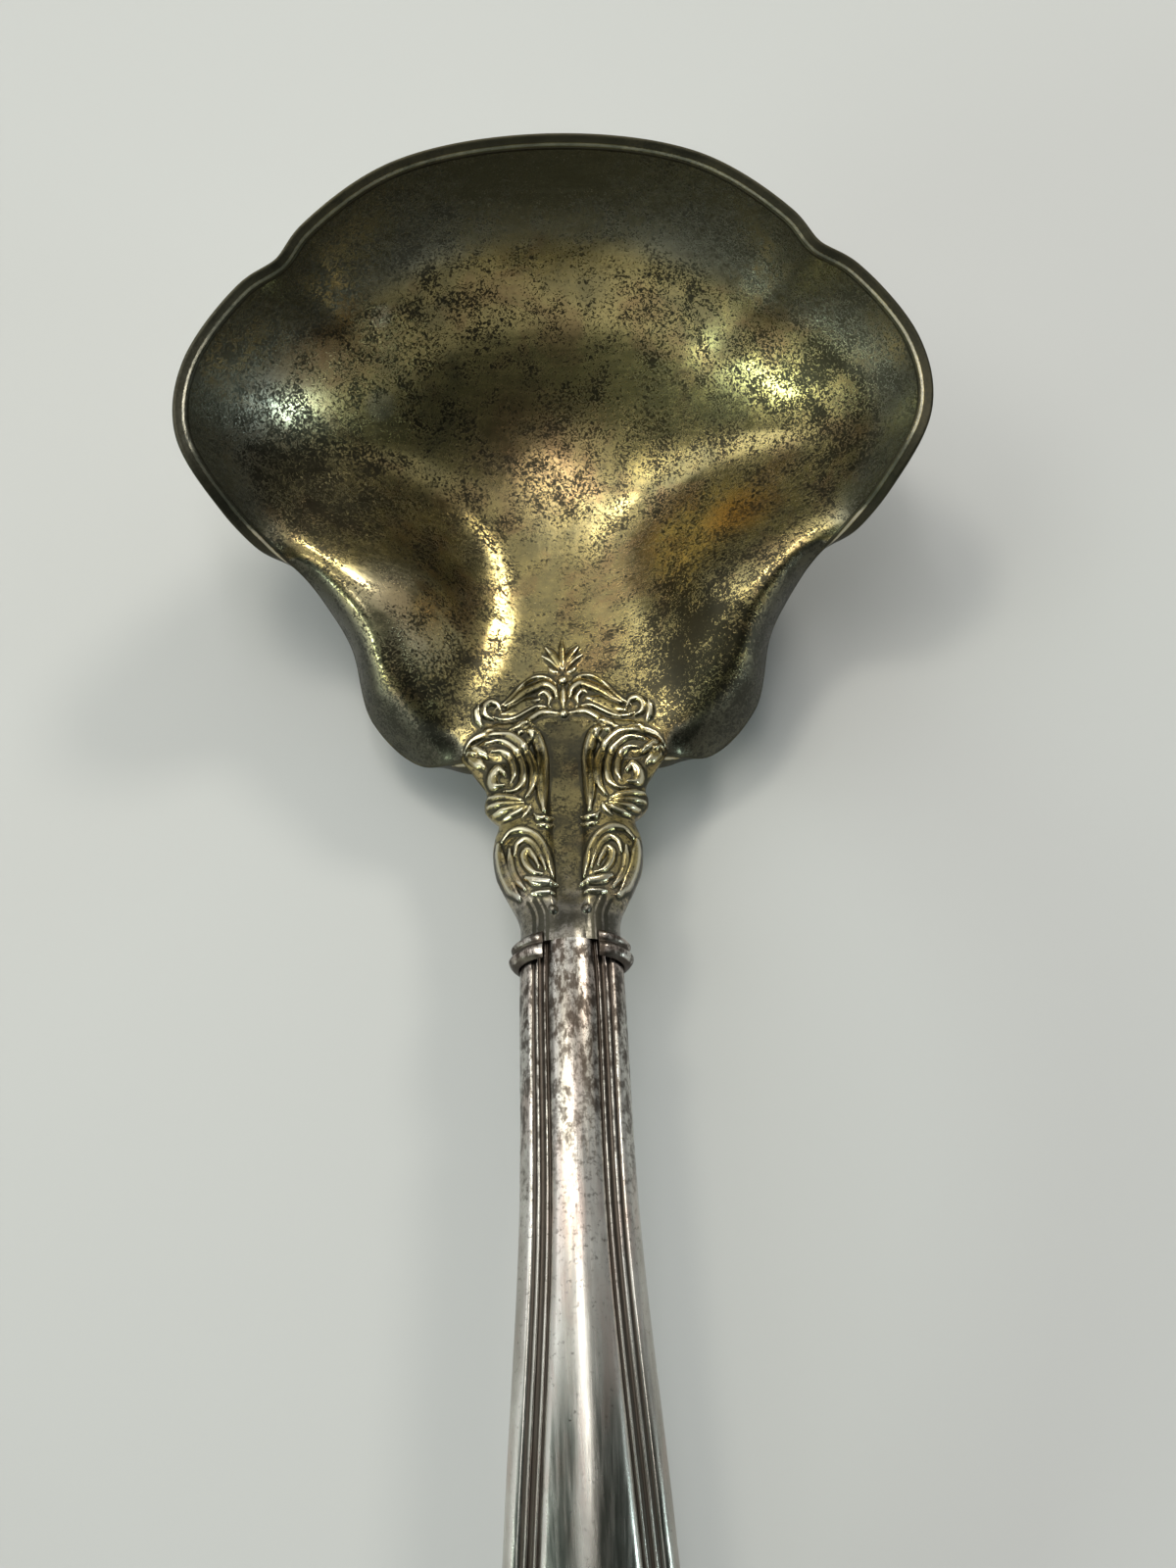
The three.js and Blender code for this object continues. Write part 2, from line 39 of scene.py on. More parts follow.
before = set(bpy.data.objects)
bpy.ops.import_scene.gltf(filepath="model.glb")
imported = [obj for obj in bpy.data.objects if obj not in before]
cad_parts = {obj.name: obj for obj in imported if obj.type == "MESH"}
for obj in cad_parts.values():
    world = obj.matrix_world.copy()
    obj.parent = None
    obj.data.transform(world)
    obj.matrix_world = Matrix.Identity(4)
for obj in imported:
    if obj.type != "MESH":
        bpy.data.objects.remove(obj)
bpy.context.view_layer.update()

MM = 0.001
BODY = "root"
# Number kept on each corner of a piece: painted shade in hollows, on the rolled-over ears and along the
# bowl's rim, painted highlights on crests, edges worn bare, and tarnish in the silver's grooves
PAINTED_LIGHT_AND_WEAR = "painted_light_and_wear"

# Small steps: a share or an angle in radians, a length, and what keeps a division from failing
NUDGE = 1e-3
TINY = NUDGE * MM
NOT_ZERO = 1e-15

# Distances within which corners of a mesh become one, and faces are too thin to keep
MERGE_WITHIN = 1e-7
THINNEST = 1e-8

# Right half of the bowl's edge seen square on, from the front round to the shoulder, as shares of
# the half width and of the reach in front of or behind the bottom
EDGE_HALF = (
    (0, 1), (0.405, 0.922), (0.644, 0.722), (0.716, 0.607), (0.82, 0.522), (0.968, 0.275),
    (0.99, 0.06), (0.877, -0.18), (0.706, -0.395), (0.643, -0.5), (0.583, -0.63), (0.531, -0.87),
    (0.4, -1.02), (0.277, -1.017),
)
EDGE_STEPS = 40

# Turns from the front, in degrees, over which the wall becomes an ear and then the flat back: at the
# bottom and at the edge
EAR_TURN = ((60, 150), (90, 130))
BACK_TURN = ((95, 180), (152, 166))

# How the wall climbs: shares of the way to the edge over which the dish gives way to the wall, size of
# the oval that the bottom starts from, power by which the lobes set in, steepness of the walls,
# flattening of the back, and where the ears crest and how they curve up to there
DISH_SHARES = (0.05, 0.65)
OVAL_SHARE = 0.92
LOBE_ONSET = 2.5
WALL_STEEPNESS = 0.93
BACK_FLATTENING = 0.4
EAR_CREST = 0.86
EAR_CURVE = 1.2

# How finely the bottom is searched for its lowest point, and passes that find the wall over a place
BOTTOM_STEPS = 400
PLAN_PASSES = 40

# Scalloped sides of the shoulder: share of its length, share of the way from waist to full width
SHOULDER_SIDES = (
    (0, 0.97), (0.03, 1), (0.076, 0.81), (0.133, 0.62), (0.184, 0.55), (0.234, 0.59),
    (0.285, 0.56), (0.335, 0.37), (0.367, 0.35), (0.43, 0.42), (0.519, 0.45), (0.627, 0.4),
    (0.709, 0.28), (0.797, 0.12), (0.854, 0.03), (0.9, 0),
)

# Shoulder and handle: power of the rounded section, pull of the middle line's ends on its arch, rise of
# the bowl's wall over that line at the joint, width of the seams, how finely the line and the part
# that may touch the table are drawn, and passes that set the tip down on it
SECTION_POWER = 2.4
ARCH_PULL = 0.4
BOWL_ABOVE_MIDDLE = 0.45 * MM
SEAM = 0.2 * MM
LINE_STEPS = 3001
TIP_STEPS = 400
TIP_PASSES = 8

# Border of the handle: share of its width in from the edge, share of the grooves' depth there
REEDS = (
    (0, 0), (0.34, 0), (0.46, 0.35), (0.55, 1), (0.61, 1), (0.7, 0.3), (0.78, 0.95), (0.86, 1.25),
    (0.94, 0.95), (1.01, 0.35), (1.08, 1), (1.13, 0.95), (1.22, 0.3), (1.4, 0),
)

# Shares of the grooves' depth between which they darken with tarnish and painted shade
REED_SHADE = (0.5, 1.15)

# Panel within the border: where it starts, in widths of the border from the edge, its rise as a share
# of its half width, and how far the whole front lies below the plain section
PANEL_FROM = 1.12
PANEL_RISE = 0.19
PANEL_SINK = 0.15 * MM

# Plain channel of the shoulder: half width at the collar, share of its length at full depth, and
# where its sides begin and end as shares of its half width
CHANNEL_END_HALF = 0.95 * MM
CHANNEL_LEVEL = 0.75
CHANNEL_SIDES = (0.7, 1.3)

# Lines of the ornament on the right half: half width, height, then points across and along in mm,
# with the joint of bowl and shoulder at 0 and the bowl at negative values
ORNAMENT = (
    # leaf sprig and the stem between the beads
    (0.3, 0.2, ((0, -6.2), (0, -7.3), (0, -8.6))),
    (0.26, 0.22, ((0.08, -6.2), (0.55, -7.1), (1.2, -7.95))),
    (0.18, 0.17, ((0.3, -6.2), (0.75, -6.8), (1.45, -7.3))),
    (0.2, 0.15, ((0.35, -5.95), (0.7, -6.05), (1.0, -6.35))),
    (0.17, 0.2, ((0, -4.85), (0, -3.3))),
    # leaf scrolls that meet at the upper bead
    (0.16, 0.22, ((0.45, -5.0), (1.1, -5.5), (1.9, -5.6), (2.7, -5.2), (3.4, -4.4), (4.2, -3.6),
                  (4.8, -3.2))),
    (0.34, 0.28, ((0.5, -4.0), (0.68, -4.6), (1.3, -5.0), (2.0, -4.75), (2.85, -4.3), (3.5, -3.75),
                  (4.1, -3.4))),
    (0.2, 0.22, ((1.05, -3.5), (1.0, -4.0), (1.35, -4.4), (1.7, -4.25))),
    (0.42, 0.18, ((1.75, -3.85), (2.65, -3.5), (3.5, -3.0), (4.3, -2.8))),
    (0.15, 0.22, ((0.9, -3.2), (1.85, -3.3), (2.65, -2.9), (3.4, -2.5), (4.3, -2.35), (5.0, -2.6))),
    (0.24, 0.27, ((4.5, -3.1), (4.75, -3.55), (5.2, -3.7), (5.6, -3.3), (5.5, -2.75), (5.05, -2.45))),
    (0.24, 0.25, ((6.0, -3.5), (6.05, -2.8), (5.8, -1.95))),
    # arch over the channel
    (0.26, 0.22, ((0.45, -2.75), (1.5, -2.85), (2.3, -2.4), (3.0, -1.85), (3.8, -1.45))),
    # upper volute
    (0.32, 0.33, ((7.0, -0.15), (6.4, -0.95), (5.2, -1.38), (3.7, -0.95), (2.75, -0.1), (2.25, 0.95),
                  (2.1, 2.1), (2.3, 3.3), (2.65, 4.0))),
    (0.25, 0.28, ((5.45, -0.45), (4.45, -0.62), (3.5, -0.05), (2.95, 1.0), (2.82, 2.0), (3.0, 2.85),
                  (3.55, 3.35), (4.25, 3.3))),
    (0.22, 0.24, ((5.1, 0.2), (4.25, 0.2), (3.65, 0.95), (3.5, 1.85), (3.75, 2.6))),
    (0.34, 0.36, ((4.3, 2.75), (4.95, 2.6), (5.15, 1.85), (4.65, 1.35), (4.2, 1.7))),
    (0.34, 0.3, ((6.75, 0.15), (6.2, 0.5), (5.6, 1.1))),
    (0.26, 0.24, ((6.4, -0.35), (5.9, 0.0), (5.4, 0.5))),
    # band beside the channel, with its foot
    (0.4, 0.34, ((3.15, -1.15), (2.65, -1.55), (2.05, -1.25), (1.64, -0.3), (1.46, 0.9), (1.52, 2.7),
                 (1.55, 4.4), (1.5, 5.3))),
    (0.2, 0.3, ((2.2, 5.6), (1.85, 5.95), (1.35, 5.9), (0.95, 5.65))),
    (0.18, 0.24, ((2.0, 6.5), (1.5, 6.6), (0.95, 6.25))),
    # shell
    (0.3, 0.32, ((3.1, 4.3), (4.2, 3.85), (5.5, 3.45))),
    (0.28, 0.3, ((3.0, 4.55), (4.1, 4.4), (5.4, 4.25))),
    (0.28, 0.3, ((2.9, 4.75), (3.9, 4.9), (5.0, 4.95))),
    (0.26, 0.28, ((2.7, 4.85), (3.4, 5.25), (4.3, 5.5))),
    (0.2, 0.24, ((2.4, 4.7), (2.6, 5.25), (3.0, 5.75))),
    # lower scroll
    (0.28, 0.32, ((4.45, 7.5), (3.9, 6.85), (3.1, 6.75), (2.1, 7.5), (1.45, 8.8), (1.1, 10.2),
                  (1.0, 10.9))),
    (0.24, 0.26, ((3.6, 8.9), (3.4, 8.0), (2.85, 7.65), (2.25, 8.2), (1.75, 9.4), (1.5, 10.4))),
    (0.24, 0.26, ((1.75, 10.85), (2.35, 10.6), (2.9, 9.8), (3.0, 8.95), (2.7, 8.6), (2.25, 9.3),
                  (1.95, 10.2))),
    (0.36, 0.34, ((3.35, 12.3), (4.05, 11.2), (4.5, 9.9), (4.75, 8.6), (4.75, 7.6))),
    (0.24, 0.26, ((2.95, 11.8), (3.65, 10.7), (3.95, 9.4), (3.95, 8.3))),
    (0.32, 0.34, ((2.85, 10.95), (1.9, 11.35), (0.8, 11.5))),
    (0.18, 0.2, ((2.5, 12.2), (1.0, 12.3))),
)

# Profile of a line: reach on its outer and inner side as shares of its half width, share of its width
# left at its ends, share of its height that doesn't taper with the width, share of its length over
# which it tapers, and points drawn from each given one to the next
CREST_LEAN = (0.85, 1.4)
TAPER_TO = 0.4
STEADY_HEIGHT = 0.7
TAPER_LENGTH = 0.3
ORNAMENT_STEPS = 8

# Beads of the ornament: distance across and along, radius and height in mm
BEADS = ((0, -5.3, 0.36, 0.3), (0, -2.72, 0.33, 0.28), (1.08, 13.7, 0.34, 0.26))

# Raised ground under the volutes where they lie on the bowl: half width, height, points in mm
GROUNDS = (
    (1.15, 0.3, ((2.4, -0.9), (3.8, -0.2), (6.2, 0.1))),
    (0.5, 0.12, ((2.3, -1.9), (3.9, -1.6), (5.4, -1.6))),
)

# Where the raised ground reaches its full height, with its outline at 0 and its middle at 1
GROUND_SLOPE = 0.8

# Stains of the gilding, and one patch of painted sheen: colour, middle in mm, reach of the full stain and
# of its edge in mm, share
GILT_STAINS = (
    ("gilt_brown", (-1.9, 7.4, 2.6), 1, 8, 0.6),
    ("gilt_orange", (13.6, -1.7, 6.2), 0.5, 4, 0.85),
    ("gilt_grey", (-25, 4, 14), 3, 13, 0.8),
    ("gilt_brown", (-17, 11.5, 12), 1.5, 6, 0.6),
    ("gilt_olive", (-17.5, 0.6, 8.4), 1.5, 7, 0.85),
    # Bright patch on the left ear's ridge: partly gilding worn bright, partly painted sheen
    ("gilt_bright", (-10.8, -9.5, 8.8), 2, 6, 0.6),
    ("gilt_orange", (-11, -9.5, 8.8), 0.5, 4, 0.35),
    ("gilt_pale", (-12.4, 13.2, 11.3), 0.5, 1.2, 0.5),
    ("gilt_pale", (-12.8, 8.5, 6.7), 0.8, 1.5, 0.4),
    ("gilt_pale", (-7, -6.5, 4.8), 0.6, 1.3, 0.4),
)

# Places where the gilding's dark spots gather or clear: middle, reaches in mm, change in level
SPOT_CLUSTERS = (
    ((-25, 3, 15), 3, 10, 0.03),
    ((-17.5, 0.5, 8.4), 2, 8, 0.09),
    ((10, -9, 8), 2, 8, 0.08),
    ((-9.5, -15, 7), 2, 6, 0.07),
    ((9.5, -14, 7), 2, 7, 0.1),
    ((22, 6, 12), 2, 11, 0.06),
    ((0, 16, 10), 3, 9, -0.05),
    ((1, -3, 1.5), 2, 8, -0.06),
    ((-12, -8, 8.8), 2, 6, -0.05),
    ((0, 21, 21), 3, 9, -0.16),
)

# Shallower slope of the neck than the plain form gives: ends along the bowl and rise between them in
# mm, then reach across, ends along and height of its flat middle
NECK_TILT = (-20, 2, 3)
NECK_FLAT = (9, -6, 12, 1)

# Places along the ladle, in mm, between which the gilding wears off, the waist is dull, and the stains
# of the silver gather towards the collar, as a haze and as spots, and end under the bowl
GILT_WORN = (-31.5, -25)
WAIST_DULL = (-34, -31.5)
STAIN_HAZE = (-74, -38)
STAIN_MOTTLE = (-64, -38)
STAIN_END = (-35, -28)

# Points drawn from each corner of a closed section to the next
SECTION_STEPS = 4


def mix(low, high, share):
    return low + (high - low) * share


def smoothstep(value, low, high):
    share = np.clip((value - low) / (high - low), 0, 1)
    return share * share * (3 - 2 * share)


def unit(vectors):
    return vectors / (np.linalg.norm(vectors, axis=-1, keepdims=True) + NOT_ZERO)


def turn_from_front(angle):
    """Size of an angle, from 0 in front to half a turn at the back."""
    return np.abs(np.arctan2(np.sin(angle), np.cos(angle)))


def bulge(share):
    """Height of the plain rounded section at a share of the way from the middle to the side."""
    return np.sqrt(np.maximum(0, 1 - np.abs(share) ** SECTION_POWER))


def through_points(pairs):
    """Smooth function through pairs of place and value, level at both ends."""
    places, values = np.array(pairs, float).T
    slopes = np.zeros(len(pairs))
    slopes[1:-1] = (values[2:] - values[:-2]) / (places[2:] - places[:-2])

    def value_at(place):
        place = np.clip(place, places[0], places[-1])
        i = np.clip(np.searchsorted(places, place, side="right") - 1, 0, len(pairs) - 2)
        span = places[i + 1] - places[i]
        t = (place - places[i]) / span
        return (values[i] * (1 + 2 * t) * (1 - t) ** 2 + slopes[i] * span * t * (1 - t) ** 2
                + values[i + 1] * t ** 2 * (3 - 2 * t) + slopes[i + 1] * span * t ** 2 * (t - 1))

    return value_at


def curve_points(points, steps, closed=False):
    """Points along a smooth curve through others, spaced so that close points make no loops."""
    points = np.array(points, float)
    count = len(points)
    if not closed:
        points = np.vstack([points, 2 * points[-1] - points[-2], 2 * points[0] - points[1]])
    share = np.linspace(0, 1, steps, endpoint=False)[:, None]
    rows = []
    for i in range(count if closed else count - 1):
        before, start, end, after = (points[(i + k) % len(points)] for k in (-1, 0, 1, 2))
        gaps = [np.linalg.norm(b - a) ** 0.5 for a, b in ((before, start), (start, end), (end, after))]
        leave = (start - before) / gaps[0] - (end - before) / (gaps[0] + gaps[1]) + (end - start) / gaps[1]
        arrive = (end - start) / gaps[1] - (after - start) / (gaps[1] + gaps[2]) + (after - end) / gaps[2]
        rows.append((2 * share ** 3 - 3 * share ** 2 + 1) * start + (3 * share ** 2 - 2 * share ** 3) * end
                    + (share ** 3 - 2 * share ** 2 + share) * leave * gaps[1]
                    + (share ** 3 - share ** 2) * arrive * gaps[1])
    if not closed:
        rows.append(points[count - 1:count])
    return np.vstack(rows)


def closed_section(points):
    """Number of corners of a smooth closed section, and a function that gives its two measures at a
    share of the way round."""
    corners = curve_points(points, SECTION_STEPS, closed=True)
    loop = np.vstack([corners, corners[:1]])

    def measures_at(around):
        return (np.interp(around * len(corners), np.arange(len(loop)), column) for column in loop.T)

    return len(corners), measures_at


class BowlForm:
    """Inside of the bowl, by share of the way from its bottom to its edge and angle from its front."""

    def __init__(self, sizes):
        self.sizes = sizes
        half = []
        for across, along in EDGE_HALF:
            reach = sizes.front_reach if along > 0 else sizes.back_reach
            half.append((across * sizes.bowl_width / 2, along * reach))
        mirrored = [(-across, along) for across, along in half[:0:-1]]
        edge = curve_points(half + mirrored, EDGE_STEPS, closed=True)
        edge = edge[edge[:, 0] >= -TINY]
        bearings = np.arctan2(edge[:, 0], edge[:, 1])
        order = np.argsort(bearings)
        self.bearings = bearings[order]
        self.radii = np.hypot(edge[:, 0], edge[:, 1])[order]
        share = np.linspace(NUDGE, DISH_SHARES[1], BOTTOM_STEPS)
        under = self.leaned(self.at(share, math.pi, sizes.bowl_wall))
        lowest = under[np.argmin(under[:, 2])]
        self.shift = np.array([0, -lowest[1], -lowest[2] - sizes.base_flat_depth])

    def edge_radius(self, angle):
        return np.interp(turn_from_front(angle), self.bearings, self.radii)

    def plan_radius(self, share, angle):
        sizes = self.sizes
        reach = np.where(np.cos(angle) > 0, sizes.front_reach, sizes.back_reach)
        oval = 1 / np.hypot(np.cos(angle) / reach, np.sin(angle) / (OVAL_SHARE * sizes.bowl_width / 2))
        return share * mix(oval, self.edge_radius(angle), share ** LOBE_ONSET)

    def inner(self, share, angle):
        sizes = self.sizes
        degrees = np.degrees(turn_from_front(angle))

        def turned(zone):
            (bottom_from, bottom_to), (edge_from, edge_to) = zone
            return smoothstep(degrees, mix(bottom_from, edge_from, share), mix(bottom_to, edge_to, share))

        def arc(at):
            return 1 - np.sqrt(1 - (WALL_STEEPNESS * at) ** 2)

        back = turned(BACK_TURN)
        ear = turned(EAR_TURN) * (1 - back)
        climb = np.minimum(share / EAR_CREST, 1)
        fall = np.maximum(share - EAR_CREST, 0) / (1 - EAR_CREST)
        ear_rise = sizes.ear_rise * (EAR_CURVE * climb ** 2 + (4 - 2 * EAR_CURVE) * climb ** 3
                                     + (EAR_CURVE - 3) * climb ** 4) - sizes.ear_drop * fall ** 2
        back_rise = (1 + BACK_FLATTENING) * share ** 2 - BACK_FLATTENING * share ** 4
        wall = ((1 - back - ear) * sizes.bowl_depth * arc(share) / arc(1) + ear * ear_rise
                + back * sizes.shoulder_rise * back_rise)
        radius = self.plan_radius(share, angle)
        x, y = radius * np.sin(angle), radius * np.cos(angle)
        dish = x ** 2 / (2 * sizes.dish_radius_across) + y ** 2 / (2 * sizes.dish_radius_along)
        return np.stack([x, y, mix(dish, wall, smoothstep(share, *DISH_SHARES))], axis=-1)

    def frame_at(self, share, angle):
        """Point, direction towards the edge and direction out of the wall."""
        share, angle = np.broadcast_arrays(np.asarray(share, float), np.asarray(angle, float))
        near = np.maximum(share, 2 * NUDGE)
        up = unit(self.inner(np.minimum(near + NUDGE, 1), angle) - self.inner(near - NUDGE, angle))
        around = unit(self.inner(near, angle + NUDGE) - self.inner(near, angle - NUDGE))
        normal = unit(np.cross(around, up))
        normal = np.where(normal[..., 2:] < 0, -normal, normal)
        return self.inner(share, angle), up, normal

    def at(self, share, angle, depth):
        point, _, normal = self.frame_at(share, angle)
        return point - normal * np.asarray(depth)[..., None]

    def over(self, across, along):
        """Share and angle of the point of the wall over a place in plan."""
        angle = np.arctan2(across, along)
        radius = np.hypot(across, along)
        share = np.clip(radius / self.edge_radius(angle), 0, 1)
        for _ in range(PLAN_PASSES):
            plan = np.maximum(self.plan_radius(share, angle), TINY)
            share = np.clip(share * radius / plan, 0, 1)
        return share, angle

    def leaned(self, points):
        cos, sin = math.cos(self.sizes.bowl_tilt), math.sin(self.sizes.bowl_tilt)
        x, y, z = np.moveaxis(points, -1, 0)
        return np.stack([x, y * cos - z * sin, y * sin + z * cos], axis=-1)

    def settled(self, points):
        return self.leaned(points) + self.shift


class StemForm:
    """Shoulder and handle, by distances across and along the middle line and above it."""

    def __init__(self, sizes, bowl):
        self.sizes = sizes
        point, up, normal = bowl.frame_at(1.0, math.pi)
        self.away = bowl.leaned(up)
        self.start = bowl.settled(point) + self.away * SEAM - bowl.leaned(normal) * BOWL_ABOVE_MIDDLE
        self.collar_at = collar_at = sizes.shoulder_length
        self.length = collar_at + sizes.handle_length
        self.end_at = self.length - sizes.end_length
        self.half_width = through_points([
            *((share * collar_at, mix(sizes.waist_width, sizes.shoulder_width, swell) / 2)
              for share, swell in SHOULDER_SIDES),
            (collar_at + sizes.collar_width, sizes.stem_width / 2),
            (collar_at + sizes.mid_at, sizes.mid_width / 2),
            (collar_at + sizes.flare_at, sizes.flare_width / 2),
            (self.end_at, sizes.end_width / 2),
        ])
        handle_crowns = [(collar_at, sizes.handle_crown), (self.end_at, sizes.end_crown)]
        self.front_crown = through_points([(0, sizes.shoulder_front_crown), *handle_crowns])
        self.back_crown = through_points([(0, sizes.shoulder_back_crown), *handle_crowns])
        self.channel_half = through_points([(0, sizes.channel_width / 2), (collar_at, CHANNEL_END_HALF)])
        self.channel_sink = through_points([
            (0, sizes.channel_depth), (CHANNEL_LEVEL * collar_at, sizes.channel_depth), (collar_at, 0)])
        self.reed_at = through_points(REEDS)
        tip = np.array([0, self.start[1] - self.length, sizes.end_crown])
        along = np.linspace(collar_at, self.length, TIP_STEPS)
        tip_share = np.maximum(along - self.end_at, 0) / sizes.end_length
        under = -self.back_crown(along) * bulge(tip_share) - SEAM / 2
        for _ in range(TIP_PASSES):
            self.draw_line(tip)
            tip[1] -= self.length - self.places[-1]
            self.draw_line(tip)
            tip[2] -= self.place(np.zeros_like(along), along, under)[:, 2].min()
        self.draw_line(tip)

    def draw_line(self, tip):
        pull = ARCH_PULL * self.length
        dip = np.array([0, math.cos(self.sizes.tip_dip), math.sin(self.sizes.tip_dip)])
        share = np.linspace(0, 1, LINE_STEPS)[:, None]
        rest = 1 - share
        self.line = (rest ** 3 * self.start + 3 * share * rest ** 2 * (self.start + self.away * pull)
                     + 3 * share ** 2 * rest * (tip + dip * pull) + share ** 3 * tip)
        steps = np.linalg.norm(np.diff(self.line, axis=0), axis=1)
        self.places = np.concatenate([[0], np.cumsum(steps)])
        self.tangents = unit(np.gradient(self.line, axis=0))

    def place(self, across, along, height):
        at = np.clip(along / self.length, 0, 1) * self.places[-1]
        y, z, along_y, along_z = (np.interp(at, self.places, column) for column in (
            self.line[:, 1], self.line[:, 2], self.tangents[:, 1], self.tangents[:, 2]))
        return np.stack([across + 0 * y, y + along_z * height, z - along_y * height], axis=-1)

    def reeded(self, off, half, width, spread=1):
        """Height over the plain section, from the panel's rise and the reeds' depth together, and that
        depth as a share, at distances from the middle of a section. Its half is measured towards the
        edge, and the width, which sets the rise, straight across."""
        border = self.sizes.reed_border * spread
        groove = self.reed_at((half - off) / border)
        panel = np.maximum(half - PANEL_FROM * border, TINY)
        rise = PANEL_RISE * np.maximum(width - PANEL_FROM * border, 0)
        swell = rise * np.maximum(1 - (off / panel) ** 2, 0)
        return swell - PANEL_SINK - self.sizes.reed_depth * groove, groove

    def shoulder_front(self, across, along):
        off = np.abs(across)
        half = self.channel_half(along)
        channel = 1 - smoothstep(off, *(share * half for share in CHANNEL_SIDES))
        crown = self.front_crown(along) * bulge(off / self.half_width(along))
        return crown - self.channel_sink(along) * channel


def away_from_line(points, across, along):
    """Distance of places from a line of points, how far along it the nearest point is, and its side."""
    nearest = np.full(across.shape, np.inf)
    share = np.zeros(across.shape)
    side = np.zeros(across.shape)
    for i, (start, end) in enumerate(zip(points[:-1], points[1:])):
        run = end - start
        t = np.clip(((across - start[0]) * run[0] + (along - start[1]) * run[1]) / (run @ run), 0, 1)
        gap = np.hypot(across - start[0] - t * run[0], along - start[1] - t * run[1])
        closer = gap < nearest
        nearest = np.where(closer, gap, nearest)
        share = np.where(closer, (i + t) / (len(points) - 1), share)
        side = np.where(closer, run[0] * (along - start[1]) - run[1] * (across - start[0]), side)
    return nearest, share, side


def ornament_height(across, along):
    """Height of the ornament over its ground, and of its raised ground."""
    across = np.abs(across) / MM
    along = along / MM
    relief = np.zeros(across.shape)
    ground = np.zeros(across.shape)
    for table, heights in ((ORNAMENT, relief), (GROUNDS, ground)):
        for half, height, points in table:
            line = curve_points(points, ORNAMENT_STEPS)
            reach = half * CREST_LEAN[1]
            low, high = line.min(axis=0) - reach, line.max(axis=0) + reach
            near = (across >= low[0]) & (across <= high[0]) & (along >= low[1]) & (along <= high[1])
            if not near.any():
                continue
            gap, share, side = away_from_line(line, across[near], along[near])
            taper = mix(TAPER_TO, 1, smoothstep(np.minimum(share, 1 - share), 0, TAPER_LENGTH))
            reach = half * taper * np.where(side > 0, *CREST_LEAN)
            inside = np.clip(1 - (gap / reach) ** 2, 0, 1)
            if table is GROUNDS:
                profile = smoothstep(inside, 0, GROUND_SLOPE)
            else:
                profile = mix(STEADY_HEIGHT, 1, taper) * np.sqrt(inside)
            heights[near] = np.maximum(heights[near], height * profile)
    for middle, at, radius, height in BEADS:
        inside = np.clip(1 - ((across - middle) ** 2 + (along - at) ** 2) / radius ** 2, 0, 1)
        relief = np.maximum(relief, height * np.sqrt(inside))
    return relief * MM, ground * MM


def blurred(heights, reach):
    """Running mean of a grid of heights over its neighbours on both sides."""
    for axis in (0, 1):
        padded = np.pad(heights, [(reach + 1, reach) if i == axis else (0, 0) for i in (0, 1)], mode="edge")
        total = np.cumsum(padded, axis=axis)
        span = 2 * reach + 1
        heights = (np.take(total, range(span, total.shape[axis]), axis=axis)
                   - np.take(total, range(total.shape[axis] - span), axis=axis)) / span
    return heights


def formed_grid(columns, rows, form):
    """Grid of faces whose corners a form places, from shares across and along the grid. The form gives the
    places, and for each a number that sets painted shade in hollows, on the rolled-over ears and along the
    rim, painted highlights on crests, edges worn bare and tarnish in grooves."""
    bm = bmesh.new()
    bmesh.ops.create_grid(bm, x_segments=columns, y_segments=rows, size=1)
    corners = np.array([vertex.co[:2] for vertex in bm.verts]).reshape(rows + 1, columns + 1, 2)
    places, painted_light_and_wear = form((corners[..., 0] + 1) / 2, (corners[..., 1] + 1) / 2)
    layer = bm.verts.layers.float.new(PAINTED_LIGHT_AND_WEAR)
    painted_light_and_wear = np.broadcast_to(painted_light_and_wear, places.shape[:2])
    for vertex, place, amount in zip(bm.verts, places.reshape(-1, 3), painted_light_and_wear.ravel()):
        vertex.co = place
        vertex[layer] = amount
    bmesh.ops.remove_doubles(bm, verts=bm.verts, dist=MERGE_WITHIN)
    bmesh.ops.dissolve_degenerate(bm, edges=bm.edges, dist=THINNEST)
    return bm


def close_ends(bm):
    bmesh.ops.holes_fill(bm, edges=[edge for edge in bm.edges if edge.is_boundary], sides=0)
    bmesh.ops.recalc_face_normals(bm, faces=bm.faces)


def face_towards(bm, direction):
    """Turns an open sheet so that its faces point along a direction on the whole."""
    bmesh.ops.recalc_face_normals(bm, faces=bm.faces)
    total = sum((face.normal * face.calc_area() for face in bm.faces), Vector())
    if total.dot(Vector(direction)) < 0:
        bmesh.ops.reverse_faces(bm, faces=bm.faces)


class Nodes:
    """Node tree with short calls for the nodes that the finishes and the room use."""

    def __init__(self, tree):
        self.tree = tree

    def give(self, socket, value):
        """Links a socket to another, or sets it to a plain value."""
        if isinstance(value, bpy.types.NodeSocket):
            self.tree.links.new(value, socket)
        else:
            socket.default_value = value

    def add(self, kind, values=None, **settings):
        node = self.tree.nodes.new(kind)
        for name, value in settings.items():
            setattr(node, name, value)
        for name, value in (values or {}).items():
            self.give(node.inputs[name], value)
        return node

    def math(self, operation, *values):
        return self.add("ShaderNodeMath", dict(enumerate(values)), operation=operation).outputs[0]

    def times(self, value, share):
        return self.math("MULTIPLY", value, share)

    def plus(self, value, other, share):
        """A value with a share of another added to it."""
        return self.math("ADD", value, self.times(other, share))

    def band(self, value, low, high, start=0, end=1):
        """Value taken smoothly from one range to another."""
        return self.add("ShaderNodeMapRange", {
            "Value": value, "From Min": low, "From Max": high, "To Min": start, "To Max": end},
            interpolation_type="SMOOTHSTEP").outputs["Result"]

    def blend(self, share, first, second):
        return self.add("ShaderNodeMix", {0: share, 6: first, 7: second}, data_type="RGBA").outputs[2]

    def axes(self, place):
        return self.add("ShaderNodeSeparateXYZ", {0: place}).outputs


